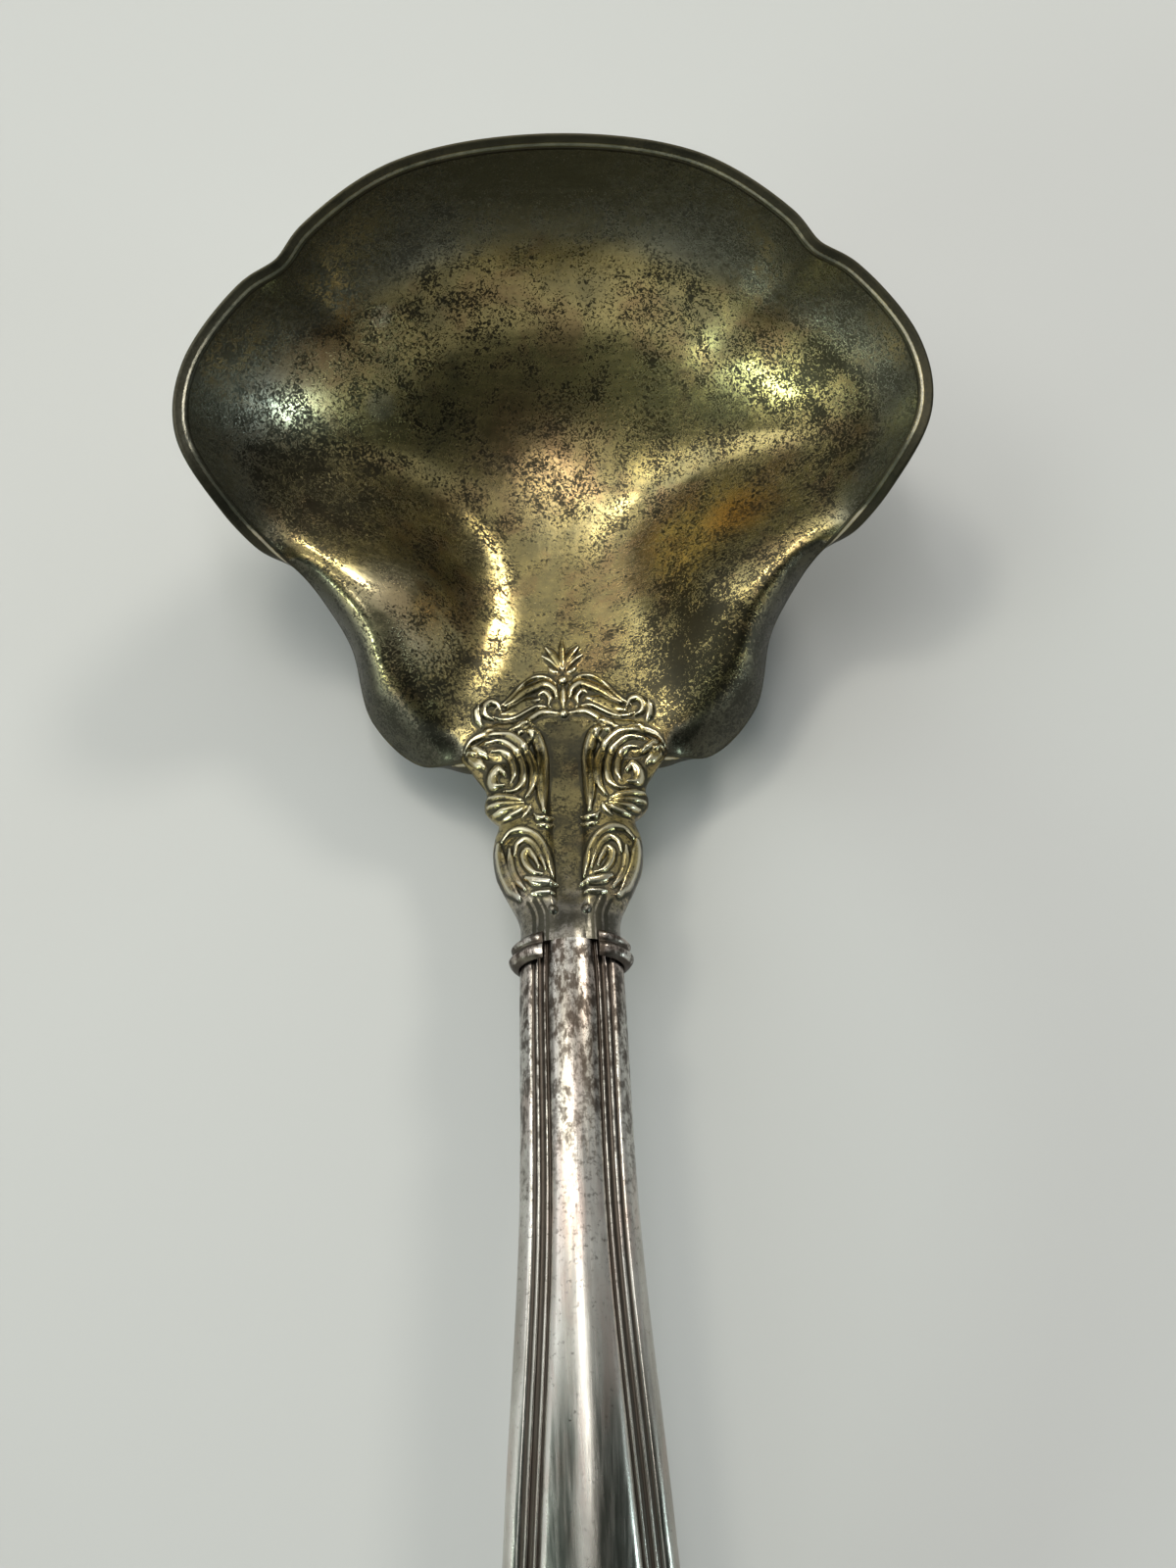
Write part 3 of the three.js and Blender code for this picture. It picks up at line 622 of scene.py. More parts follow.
class Finish(Nodes):
    """Node tree of one finish, which reads places on the piece in mm."""

    def __init__(self, name):
        self.material = bpy.data.materials.new(name)
        self.material.use_nodes = True
        super().__init__(self.material.node_tree)
        coordinates = self.add("ShaderNodeTexCoord").outputs["Object"]
        self.place = self.stretched(coordinates, (1 / MM,) * 3)

    def stretched(self, place, scale):
        return self.add("ShaderNodeMapping", {"Vector": place, "Scale": scale}).outputs[0]

    def noise(self, scale, detail=3, roughness=0.55, distortion=0, stretch=None):
        """Uneven value, with its scale in swings per mm."""
        place = self.stretched(self.place, stretch) if stretch else self.place
        return self.add("ShaderNodeTexNoise", {
            "Vector": place, "Scale": scale, "Detail": detail, "Roughness": roughness,
            "Distortion": distortion}).outputs["Fac"]

    def patch(self, centre, inner, outer, share):
        """A share near a place on the piece, falling to 0 further out."""
        node = self.add("ShaderNodeVectorMath", {0: self.place, 1: centre}, operation="DISTANCE")
        return self.band(node.outputs["Value"], inner, outer, share, 0)

    # Painted shade and highlights, and worn edges, that the form kept on the piece
    def painted_light_and_wear(self):
        return self.add("ShaderNodeAttribute", attribute_name=PAINTED_LIGHT_AND_WEAR).outputs["Fac"]

    def bump(self, height, strength, distance, over=None):
        values = {"Height": height, "Strength": strength, "Distance": distance}
        if over:
            values["Normal"] = over
        return self.add("ShaderNodeBump", values).outputs["Normal"]

    def set(self, **values):
        """Gives the shader's sockets their values, and returns the material."""
        shader = self.tree.nodes["Principled BSDF"]
        for name, value in values.items():
            self.give(shader.inputs[name.replace("_", " ").title()], value)
        return self.material


def gilding(finish, colours):
    """Colour of old gilding, its dark spots and its unevenness, alike on the bowl and the shoulder."""
    broad = finish.noise(0.11, roughness=0.5, distortion=0.6)
    uneven = finish.noise(0.6, detail=4, roughness=0.62)
    tint = finish.plus(finish.times(broad, 0.55), uneven, 0.45)
    colour = finish.blend(finish.band(tint, 0.36, 0.64), colours.gilt_olive, colours.gilt)
    for stain, centre, inner, outer, share in GILT_STAINS:
        colour = finish.blend(finish.patch(centre, inner, outer, share), colour, getattr(colours, stain))
    warm = finish.noise(0.22, detail=4, roughness=0.6, distortion=0.5)
    colour = finish.blend(finish.band(warm, 0.48, 0.68, 0, 0.6), colour, colours.gilt_brown)
    clusters = finish.noise(0.45, roughness=0.6, distortion=0.4)
    grains = finish.noise(4.7, roughness=0.72, distortion=0.9)
    level = finish.plus(grains, clusters, 0.5)
    for centre, inner, outer, change in SPOT_CLUSTERS:
        level = finish.math("ADD", level, finish.patch(centre, inner, outer, change))
    spots = finish.band(level, 0.75, 0.82)
    return finish.blend(finish.times(spots, 0.86), colour, colours.tarnish), spots, uneven


def neck_slope(finish):
    """Direction of the surface with the neck of the bowl made shallower and flatter in its middle."""
    x, along, _ = finish.axes(finish.place)
    low, high, rise = NECK_TILT
    reach, back, front, height = NECK_FLAT
    middle = finish.band(finish.math("ABSOLUTE", x), 0, reach, height, 0)
    flat = finish.times(middle, finish.band(along, back, front, 1, 0))
    return finish.bump(finish.math("ADD", finish.band(along, low, high, 0, rise), flat), 1, MM)


def gilt_finish(gilt, colours):
    """Thin gilding inside the bowl, with stains, dark spots and fine scratches, painted shade on the
    rolled-over ears and a painted dark reflection along the rim.
    """
    colour, spots, uneven = gilding(gilt, colours)
    # Painted shade on the rolled-over ears, in two steps
    rolled = gilt.plus(gilt.painted_light_and_wear(), uneven, 0.5)
    colour = gilt.blend(gilt.band(rolled, 0.3, 0.8, 0, 0.7), colour, colours.gilt_dark)
    colour = gilt.blend(gilt.band(rolled, 0.42, 1, 0, 0.85), colour, colours.gilt_shade)
    # Painted dark reflection on the wall along the rim
    rim = gilt.math("SUBTRACT", gilt.times(uneven, 0.4), gilt.painted_light_and_wear())
    colour = gilt.blend(gilt.band(rim, 0.3, 1.1, 0, 0.92), colour, colours.gilt_dark)
    colour = gilt.blend(gilt.times(spots, 0.65), colour, colours.tarnish)
    scratches = gilt.noise(1.3, detail=2, stretch=(0.12, 2.4, 1))
    dull = gilt.math("ADD", gilt.noise(3, detail=2), scratches)
    rough = gilt.plus(gilt.band(dull, 0.7, 1.3, 0.15, 0.27), spots, 0.16)
    height = gilt.plus(gilt.times(uneven, 0.6), spots, -0.25)
    normal = gilt.bump(height, 0.25, 0.12 * MM, over=neck_slope(gilt))
    return gilt.set(base_color=colour, metallic=0.94, roughness=rough, normal=normal)


def worn_gilt_finish(worn, colours):
    """Gilding worn through towards the handle and on edges, with painted shade in the hollows and painted
    highlights on the crests.
    """
    colour, spots, uneven = gilding(worn, colours)
    _, along, _ = worn.axes(worn.place)
    bare = worn.band(worn.plus(along, uneven, 8), *GILT_WORN, 1, 0)
    edge = worn.band(worn.painted_light_and_wear(), -1.7, -1.2, 0.42, 0)
    bare = worn.math("MAXIMUM", bare, edge)
    # Crests of the ornament and the band's worn line: gilding worn bright, with a painted highlight
    high = worn.math("SUBTRACT", worn.band(worn.painted_light_and_wear(), -0.85, -0.25, 1, 0), edge)
    rubbed_and_highlit = worn.times(high, 0.8)
    colour = worn.blend(rubbed_and_highlit, colour, colours.gilt_bright)
    silver = worn.blend(worn.times(spots, 0.55), colours.silver_tarnish, colours.groove)
    silver = worn.blend(rubbed_and_highlit, silver, colours.silver)
    colour = worn.blend(bare, colour, silver)
    dull = worn.times(worn.band(along, *WAIST_DULL, 1, 0), worn.band(uneven, 0.3, 0.6, 0.9, 0.3))
    # Painted shade in hollows, on the channel and on the band, with the waist's dullness
    level = worn.plus(worn.plus(worn.painted_light_and_wear(), uneven, 1.1), dull, 0.85)
    dark = worn.band(level, 0.68, 1.18)
    colour = worn.blend(worn.times(dark, 0.95), colour, colours.gilt_shade)
    rough = worn.plus(worn.band(uneven, 0.3, 0.7, 0.16, 0.26), dark, 0.2)
    normal = worn.bump(worn.noise(1.5), 0.15, 0.1 * MM, over=neck_slope(worn))
    return worn.set(base_color=colour, metallic=0.96, roughness=rough, normal=normal)


def silver_finish(silver, colours):
    """Old polish with fine scratches, cloudy tarnish, stains towards the collar, and grooves dark with
    tarnish and painted shade.
    """
    clouds = silver.noise(0.16, detail=4, roughness=0.6, stretch=(1.8, 0.5, 1))
    colour = silver.blend(silver.band(clouds, 0.32, 0.64), colours.silver, colours.silver_tarnish)
    warm = silver.noise(0.3, stretch=(2.2, 0.4, 1))
    colour = silver.blend(silver.band(warm, 0.46, 0.68, 0, 0.75), colour, colours.silver_pink)
    _, along, _ = silver.axes(silver.place)
    mottle = silver.noise(1.7, detail=5, roughness=0.7, stretch=(1.3, 0.5, 1))
    blotches = silver.times(silver.band(along, *STAIN_MOTTLE, 0, 0.4), silver.band(mottle, 0.42, 0.62))
    collar = silver.math("ADD", silver.band(along, *STAIN_HAZE, 0, 0.3), blotches)
    collar = silver.times(collar, silver.band(along, *STAIN_END, 1, 0.3))
    stain = silver.noise(0.9, detail=4, roughness=0.6, stretch=(1.6, 0.35, 1))
    # Grooves darkened by tarnish and painted shade, together with the stains
    level = silver.plus(silver.painted_light_and_wear(), stain, 0.65)
    dark = silver.band(silver.math("ADD", level, collar), 0.46, 1.05)
    colour = silver.blend(silver.times(dark, 0.95), colour, colours.groove)
    grains = silver.plus(silver.noise(2.8, detail=4, roughness=0.75), collar, 0.35)
    spots = silver.band(grains, 0.6, 0.74)
    colour = silver.blend(silver.times(spots, 0.6), colour, colours.groove)
    scratches = silver.noise(1.6, stretch=(2.6, 0.08, 1))
    rough = silver.plus(silver.band(scratches, 0.3, 0.7, 0.17, 0.29), dark, 0.2)
    normal = silver.bump(scratches, 0.08, 0.06 * MM)
    return silver.set(base_color=colour, metallic=1, roughness=rough, normal=normal)


def tang_finish(tang, colours):
    """Unpolished silver of the hidden bar."""
    marks = tang.noise(0.9, detail=5, roughness=0.65, stretch=(1, 0.2, 1))
    colour = tang.blend(tang.band(marks, 0.3, 0.75), colours.silver_tarnish, colours.groove)
    rough = tang.band(marks, 0.3, 0.7, 0.4, 0.6)
    return tang.set(base_color=colour, metallic=1, roughness=rough,
                    normal=tang.bump(marks, 0.3, 0.1 * MM))


def pitch_finish(pitch, colours):
    """Hard brown filler of the hollow handle."""
    grain = pitch.noise(1.1, detail=5, roughness=0.7)
    colour = pitch.blend(grain, colours.pitch, colours.tarnish)
    rough = pitch.band(grain, 0.3, 0.7, 0.5, 0.85)
    return pitch.set(base_color=colour, roughness=rough, normal=pitch.bump(grain, 0.4, 0.2 * MM))


def floor_finish(floor, colours):
    """Pale matt table top with the faintest unevenness."""
    drift = floor.noise(0.004, detail=2)
    colour = floor.blend(floor.band(drift, 0.3, 0.7), colours.floor, colours.floor_shade)
    return floor.set(base_color=colour, roughness=0.55)


FINISHES = {
    "spotted_gilding": gilt_finish,
    "worn_gilding": worn_gilt_finish,
    "old_silver": silver_finish,
    "dull_silver": tang_finish,
    "brown_pitch": pitch_finish,
    "pale_floor": floor_finish,
}


def finish_of(context, name):
    """The finish of that name, made the first time that it is asked for."""
    return bpy.data.materials.get(name) or FINISHES[name](Finish(name), context.scene.ladle_colours)


def finish_piece(context, bm, name, node, slot, *finishes, sharp=40):
    """Makes an object of a mesh, in place of a node of the frame and with its finishes. Edges that turn
    by fewer than the sharp degrees look smooth."""
    bm.normal_update()
    for face in bm.faces:
        face.smooth = True
    for edge in bm.edges:
        edge.smooth = edge.calc_face_angle(0) < math.radians(sharp)
    mesh = bpy.data.meshes.new(name)
    bm.to_mesh(mesh)
    bm.free()
    piece = bpy.data.objects.new(name, mesh)
    context.scene.collection.objects.link(piece)
    for finish in finishes:
        mesh.materials.append(finish_of(context, finish))
    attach(piece, BODY)
    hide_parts(node)


def length(name, default, description):
    return FloatProperty(
        name=name, description=description, default=default, min=0, unit="LENGTH", precision=5)


def angle(name, default, description):
    return FloatProperty(name=name, description=description, default=default, subtype="ANGLE")


def colour(name, default, description):
    return FloatVectorProperty(
        name=name, description=description, default=(*default, 1), size=4, min=0, max=1, subtype="COLOR")


class LadleSizes(bpy.types.PropertyGroup):
    """Sizes of the ladle's pieces."""

    bowl_width: length("Bowl Width", 0.051, "Width of the bowl inside its edge band")
    front_reach: length("Front Reach", 0.0203, "From the bowl's bottom to its front edge")
    back_reach: length("Back Reach", 0.0218, "From the bowl's bottom to the shoulder")
    bowl_depth: length("Bowl Depth", 0.015, "Rise of the front and side walls")
    shoulder_rise: length("Shoulder Rise", 0.0136, "Rise of the wall under the shoulder")
    ear_rise: length("Ear Rise", 0.0134, "Rise of the two small lobes beside the shoulder")
    ear_drop: length("Ear Drop", 0.0032, "How far those lobes roll over and down")
    dish_radius_across: length("Dish Radius Across", 0.027, "Roundness of the bottom from side to side")
    dish_radius_along: length("Dish Radius Along", 0.0175, "Roundness of the bottom from front to back")
    bowl_wall: length("Bowl Wall", 0.0009, "Thickness of the bowl")
    bowl_tilt: angle("Bowl Tilt", math.radians(18), "How far the bowl leans back on the table")
    base_flat_depth: length("Base Flat Depth", 0.00025, "How much of the bottom is flat")
    edge_band: length("Edge Band", 0.0009, "Width of the band along the bowl's edge")
    shoulder_length: length("Shoulder Length", 0.0158, "From the bowl to the collar")
    shoulder_width: length("Shoulder Width", 0.0145, "Width of the shoulder at the bowl")
    waist_width: length("Waist Width", 0.0066, "Width of the shoulder above the collar")
    shoulder_front_crown: length("Shoulder Front Crown", 0.0011, "Rise of the shoulder's front at the bowl")
    shoulder_back_crown: length("Shoulder Back Crown", 0.00175, "Rise of the shoulder's back at the bowl")
    channel_width: length("Channel Width", 0.0028, "Width of the plain channel at the bowl")
    channel_depth: length("Channel Depth", 0.0005, "Depth of the plain channel")
    drop_length: length("Drop Length", 0.0085, "Length of the tongue under the bowl")
    drop_width: length("Drop Width", 0.007, "Width of the tongue under the bowl")
    drop_thickness: length("Drop Thickness", 0.00095, "Thickness of the tongue under the bowl")
    collar_width: length("Collar Width", 0.0023, "Length of the collar, before its beads are pressed")
    collar_thickness: length("Collar Thickness", 0.0007, "How far the collar stands out")
    collar_opening: length("Collar Opening", 0.0036, "Gap between the collar's ends")
    handle_length: length("Handle Length", 0.0795, "From the collar to the tip")
    stem_width: length("Stem Width", 0.00685, "Width of the handle at the collar")
    mid_width: length("Middle Width", 0.0076, "Width of the handle where it starts to widen")
    mid_at: length("Middle Place", 0.019, "Distance of that width from the collar")
    flare_width: length("Flare Width", 0.0103, "Width of the handle halfway")
    flare_at: length("Flare Place", 0.037, "Distance of that width from the collar")
    end_width: length("End Width", 0.0147, "Width of the handle before its round tip")
    end_length: length("End Length", 0.01, "Length of the round tip")
    handle_crown: length("Handle Crown", 0.00205, "Rise of each half of the handle at the collar")
    end_crown: length("End Crown", 0.0017, "Rise of each half of the handle at the tip")
    handle_wall: length("Handle Wall", 0.0006, "Thickness of the handle's two shells")
    reed_depth: length("Reed Depth", 0.00023, "Depth of the grooves between the threads")
    reed_border: length("Reed Border", 0.00165, "Width of the threaded border")
    tip_dip: angle("Tip Dip", math.radians(21), "Slope of the handle at its tip")


class LadleColours(bpy.types.PropertyGroup):
    """Colours of the ladle's finishes and of the floor."""

    gilt: colour("Gilt", (0.44, 0.36, 0.155), "Clean gilding")
    # Gilding worn bright, also used for the painted highlight on the ornament's crests and painted sheen on
    # the left ear's ridge
    gilt_bright: colour("Bright Gilt", (0.68, 0.63, 0.46), "Rubbed gilding on the high places")
    gilt_grey: colour("Grey Gilt", (0.42, 0.42, 0.38), "Gilding worn thin in the left lobe")
    # Colour of the painted dark reflection along the bowl's rim and of the painted shade on the rolled-over
    # ears
    gilt_dark: colour("Dark Gilt", (0.28, 0.285, 0.23), "Gilding gone dark along the rim and on the ears")
    # Colour of the painted shade in hollows, on the channel, the band and the rolled-over ears, and of the
    # dull waist
    gilt_shade: colour("Shaded Gilt", (0.045, 0.043, 0.031), "Darkest gilding, in hollows and on the ears")
    gilt_pale: colour("Pale Gilt", (0.4, 0.38, 0.28), "Marks of dried water")
    gilt_olive: colour("Olive Gilt", (0.23, 0.2, 0.1), "Stained gilding")
    gilt_brown: colour("Brown Gilt", (0.3, 0.19, 0.095), "Gilding that has gone thin and brown")
    gilt_orange: colour("Orange Gilt", (0.5, 0.27, 0.07), "Heat-coloured gilding beside the ears")
    tarnish: colour("Tarnish", (0.028, 0.026, 0.018), "Dark spots")
    silver: colour("Silver", (0.62, 0.605, 0.565), "Polished silver")
    silver_tarnish: colour("Dull Silver", (0.37, 0.345, 0.31), "Lightly tarnished silver")
    silver_pink: colour("Pink Silver", (0.5, 0.405, 0.36), "Warm tarnish on the handle")
    # Colour of the silver's dark spots and stains, and of the tarnish and painted shade in its grooves
    groove: colour("Groove", (0.06, 0.047, 0.038), "Old dirt in the grooves")
    pitch: colour("Pitch", (0.12, 0.085, 0.055), "Filler of the hollow handle")
    floor: colour("Floor", (0.59, 0.6, 0.61), "Table top")
    floor_shade: colour("Floor Shade", (0.56, 0.57, 0.58), "Darker drift of the table top")


class LadleStage(bpy.types.PropertyGroup):
    """View and light of the stage."""

    camera_place: FloatVectorProperty(
        name="Camera", description="Where the camera stands", default=(0.000791, -0.091027, 0.175475),
        subtype="TRANSLATION", unit="LENGTH", precision=5)
    camera_aim: FloatVectorProperty(
        name="Aim", description="Point in the middle of the picture", default=(0.0015, -0.024439, 0.012),
        subtype="TRANSLATION", unit="LENGTH", precision=5)
    camera_roll: angle("Roll", math.radians(-1.382), "Turn of the camera round its line of sight")
    lens: FloatProperty(
        name="Lens", description="Focal length on a 36 mm frame", default=60.24, min=1, unit="CAMERA")
    lamp_level: FloatProperty(
        name="Lamp Level", description="Strength of all lamps together", default=1, min=0, max=4,
        subtype="FACTOR")


def forms(context):
    bowl = BowlForm(context.scene.ladle_sizes)
    return bowl, StemForm(context.scene.ladle_sizes, bowl)


class LADLE_OT_bowl(bpy.types.Operator):
    """Make the lobed bowl, gilt inside and silver outside"""

    bl_idname = "ladle.bowl"
    bl_label = "Bowl"

    GRID = (320, 80)
    # Shares of the way to the edge between which the rolled-over ears take their painted shade, and the
    # slope down at which they do so fully
    ROLL = (0.86, 0.99)
    ROLL_SLOPE = 0.3
    # Shares of the way to the edge from which the wall darkens towards the rim with a painted dark
    # reflection, at the sides and in front, how far that takes, and the cosines of the turns from the front
    # between which it sets in
    RIM_FROM = (0.84, 0.7)
    RIM_REACH = 0.17
    RIM_TURNS = (-0.5, -0.1)

    def execute(self, context):
        sizes = context.scene.ladle_sizes
        bowl, _ = forms(context)

        def inside(around, out):
            share = np.sin(math.pi / 2 * out)
            angle = math.pi * (2 * around - 1)
            point, up, _ = bowl.frame_at(share, angle)
            down = -bowl.leaned(up)[..., 2]
            rolled = smoothstep(share, *self.ROLL) * smoothstep(down, 0, self.ROLL_SLOPE)
            ahead = np.cos(angle)
            start = mix(*self.RIM_FROM, smoothstep(ahead, 0, 1))
            rim = smoothstep(share, start, start + self.RIM_REACH) * smoothstep(ahead, *self.RIM_TURNS)
            # Painted shade on the rolled-over ears counts up, painted dark reflection along the rim counts
            # down
            return bowl.settled(point), rolled - rim

        bm = formed_grid(*self.GRID, inside)
        face_towards(bm, (0, 0, 1))
        gilt = set(bm.faces)
        bmesh.ops.solidify(bm, geom=bm.faces[:], thickness=sizes.bowl_wall)
        for face in bm.faces:
            face.material_index = 0 if face in gilt else 1
        cut = bmesh.ops.bisect_plane(
            bm, geom=bm.verts[:] + bm.edges[:] + bm.faces[:], plane_co=(0, 0, 0), plane_no=(0, 0, 1),
            clear_inner=True)
        outline = [item for item in cut["geom_cut"] if isinstance(item, bmesh.types.BMEdge)]
        base = bmesh.ops.holes_fill(bm, edges=outline, sides=0)
        for face in base["faces"]:
            face.material_index = 1
        bmesh.ops.recalc_face_normals(bm, faces=bm.faces)
        finish_piece(context, bm, "lobed_bowl", "bowl", "gilt_silver", "spotted_gilding", "old_silver")
        return {"FINISHED"}


class LADLE_OT_edge_band(bpy.types.Operator):
    """Make the bevelled band along the bowl's edge"""

    bl_idname = "ladle.edge_band"
    bl_label = "Edge Band"

    STEPS = 480
    # Widths of the band by which its ends run in under the shoulder's corners
    LAP = 1.5
    # Section of the band: shares of its width out from the edge and above the wall's middle
    SECTION = (
        (0, 0.49), (0.12, 0.5), (0.24, 0.49), (0.34, 0.4), (0.46, 0.24), (0.66, -0.02), (0.84, -0.25),
        (0.88, -0.38), (0.78, -0.47), (0.4, -0.49), (0, -0.48),
    )
    # Painted shade across the band, darkest on its outer bevel, with a line worn bare: share out, value
    SHADES = ((0, 0.6), (0.3, 0.6), (0.4, -2), (0.43, -2), (0.5, 0.6), (0.62, 0.75), (0.9, 0.85))
    # Slopes down between which the band rolls over with the ears, and its painted shade there
    ROLL_SLOPES = (-0.1, 0.5)
    ROLL_SHADE = 0.62
    # Where the underside of the section starts, and its painted shade
    UNDERSIDE = -0.44
    UNDERSIDE_SHADE = 0.6

    def execute(self, context):
        sizes = context.scene.ladle_sizes
        bowl, _ = forms(context)
        end_half = sizes.shoulder_width / 2 - self.LAP * sizes.edge_band
        stop = math.pi - math.asin(end_half / sizes.back_reach)
        corners, section_at = closed_section(self.SECTION)
        shade_at = through_points(self.SHADES)

        def band(around, along):
            point, up, normal = bowl.frame_at(1.0, mix(-stop, stop, along))
            out, rise = section_at(around)
            rolled = smoothstep(-up[..., 2], *self.ROLL_SLOPES)
            # Painted shade, heavier where the band rolls over with the ears and on its underside
            shade = mix(shade_at(out), self.ROLL_SHADE, rolled)
            shade = np.where(rise > self.UNDERSIDE, shade, self.UNDERSIDE_SHADE)
            off = up * out[..., None] + normal * rise[..., None]
            return bowl.settled(point - normal * sizes.bowl_wall / 2 + off * sizes.edge_band), shade

        bm = formed_grid(corners, self.STEPS, band)
        close_ends(bm)
        finish_piece(context, bm, "edge_band", "edge_wire", "worn_gilt", "worn_gilding", sharp=60)
        return {"FINISHED"}


class LADLE_OT_shoulder(bpy.types.Operator):
    """Make the shoulder with its scrolls, and the leaf crest that runs up on to the bowl"""

    bl_idname = "ladle.shoulder"
    bl_label = "Shoulder"

    GRID = (250, 330)
    # Share of the way round that the front takes up
    FRONT_SHARE = 0.82
    # Crest on the bowl: distances along and half widths in mm, how deep it is sunk where it is bare,
    # how far it stands out where it shows, and how deep its back lies, as a share of the bowl's wall
    CREST_SIDES = (
        (-9.2, 0.5), (-8.2, 2), (-6.4, 2.4), (-5.4, 3.3), (-4, 6.2), (-2.6, 6.8), (-1, 7), (0, 7.15),
    )
    CREST_SINK = 0.06 * MM
    CREST_SHOW = 0.012 * MM
    CREST_BACK = 0.6
    # Heights of the blurred ornament between which the crest comes to show, and distances along
    # between which it comes to show all over
    SHOW_HEIGHTS = (0.002 * MM, 0.012 * MM)
    SHOW_ALL = (-0.9 * MM, -0.4 * MM)
    # Distances along over which the bowl's form gives way to the stem's, and the scrolls to the reeds
    JOINT = (0, 2.4 * MM)
    WAIST = (12.2 * MM, 13.8 * MM)
    # Painted shade on the ground of the recessed channel: distances along over which it starts and ends,
    # its sides as shares of the channel's half width, its strength, and the height of ornament that stays
    # clear of it
    CHANNEL_TOP = (-2.6 * MM, -2 * MM)
    CHANNEL_FOOT = (11.5 * MM, 13.5 * MM)
    CHANNEL_BRINK = (0.9, 1.25)
    CHANNEL_SHADE = 0.45
    CLEAR_HEIGHT = 0.1 * MM
    # Ground of the scrolls: depth, and distances from the middle over which it sinks
    GROUND_SINK = 0.14 * MM
    GROUND_SIDES = (1.3 * MM, 1.7 * MM)
    # Share of the half width over which the relief fades out at the sides
    SIDE_FADE = 0.05
    # Depth below its surroundings at which a hollow takes its full painted shade, and a crest above them
    # its full painted highlight, and faces over which that and the show of the crest are blurred
    HOLLOW_DEPTH = 0.085 * MM
    HOLLOW_BLUR = 4
    SHOW_BLUR = 5

    def execute(self, context):
        bowl, stem = forms(context)
        sizes = context.scene.ladle_sizes
        crest_half = through_points([(along * MM, half * MM) for along, half in self.CREST_SIDES])
        crest_top = self.CREST_SIDES[0][0] * MM

        def casting(around, down):
            along = mix(crest_top, stem.collar_at + SEAM, down)
            half = np.where(along < 0, crest_half(along), stem.half_width(along))
            front = around <= self.FRONT_SHARE
            across = half * np.where(front, 2 * around / self.FRONT_SHARE - 1,
                                     1 - 2 * (around - self.FRONT_SHARE) / (1 - self.FRONT_SHARE))
            off = np.abs(across)
            relief, ground = ornament_height(across, along)
            on_shoulder = np.maximum(along, 0)
            joined = smoothstep(along, *self.JOINT)
            waist = smoothstep(along, *self.WAIST)
            side = smoothstep(1 - off / half, 0, self.SIDE_FADE)
            reeds, groove = stem.reeded(off, half, half)
            sunk = -self.GROUND_SINK * smoothstep(off, *self.GROUND_SIDES) * joined
            field = side * np.maximum(relief + sunk * (1 - waist), relief * (1 - waist) + reeds * waist)
            height = np.where(front, stem.shoulder_front(across, on_shoulder) + field,
                              -stem.back_crown(on_shoulder) * bulge(across / half))
            channel_half = stem.channel_half(on_shoulder)
            channel = 1 - smoothstep(off, *(share * channel_half for share in self.CHANNEL_BRINK))
            channel = channel * smoothstep(along, *self.CHANNEL_TOP)
            channel = channel * (1 - smoothstep(along, *self.CHANNEL_FOOT))
            shown = np.maximum(smoothstep(blurred(relief, self.SHOW_BLUR), *self.SHOW_HEIGHTS),
                               np.maximum(channel, smoothstep(along, *self.SHOW_ALL)))
            share, angle = bowl.over(across, -sizes.back_reach - np.minimum(along, 0))
            raised = (relief + ground) * side + mix(-self.CREST_SINK, self.CREST_SHOW, shown)
            rise = np.where(front, raised, -self.CREST_BACK * sizes.bowl_wall)
            on_bowl = bowl.settled(bowl.at(share, angle, -rise)) + on_shoulder[..., None] * stem.away
            places = mix(on_bowl, stem.place(across, on_shoulder, height), joined[..., None])
            level = mix(relief + ground, field, joined)
            # Hollows get painted shade and crests painted highlights from how far they lie below or above
            # their surroundings
            hollow = (blurred(level, self.HOLLOW_BLUR) - level) / self.HOLLOW_DEPTH
            shade = mix(np.clip(hollow, -1, 1), smoothstep(groove, *REED_SHADE), waist)
            bare = 1 - smoothstep(relief, 0, self.CLEAR_HEIGHT)
            # Painted shade on the channel where no ornament stands
            shade = np.clip(shade + self.CHANNEL_SHADE * channel * bare, -1, 1)
            return places, np.where(front, shade, 0)

        bm = formed_grid(*self.GRID, casting)
        close_ends(bm)
        finish_piece(context, bm, "scroll_shoulder", "shoulder", "worn_gilt", "worn_gilding", sharp=80)
        return {"FINISHED"}


class LADLE_OT_heel_drop(bpy.types.Operator):
    """Make the plain tongue under the bowl"""

    bl_idname = "ladle.heel_drop"
    bl_label = "Heel Drop"

    GRID = (80, 48)
    # How far its outline rounds in and how much thinner it gets up to the tip, share of the thickness
    # towards its sides and the power by which they round off
    ROUNDING = 0.96
    TIP_THINNING = 0.75
    SIDE_SHARE = 0.4
    SIDE_POWER = 8

    def execute(self, context):
        sizes = context.scene.ladle_sizes
        bowl, _ = forms(context)

        def tongue(around, along):
            against_bowl = around <= 0.5
            column = np.where(against_bowl, 4 * around - 1, 3 - 4 * around)
            half = sizes.drop_width / 2 * np.sqrt(1 - (self.ROUNDING * along) ** 2)
            share, angle = bowl.over(column * half, -sizes.back_reach + sizes.drop_length * along)
            thick = sizes.drop_thickness * (1 - self.TIP_THINNING * along ** 2)
            thick = thick * mix(1, self.SIDE_SHARE, column ** 2)
            thick = thick * np.sqrt(np.maximum(0, 1 - column ** self.SIDE_POWER))
            depth = sizes.bowl_wall + np.where(against_bowl, 0, thick)
            return bowl.settled(bowl.at(share, angle, depth)), 0

        bm = formed_grid(*self.GRID, tongue)
        close_ends(bm)
        finish_piece(context, bm, "heel_drop_tongue", "heel_drop", "silver", "old_silver", sharp=50)
        return {"FINISHED"}


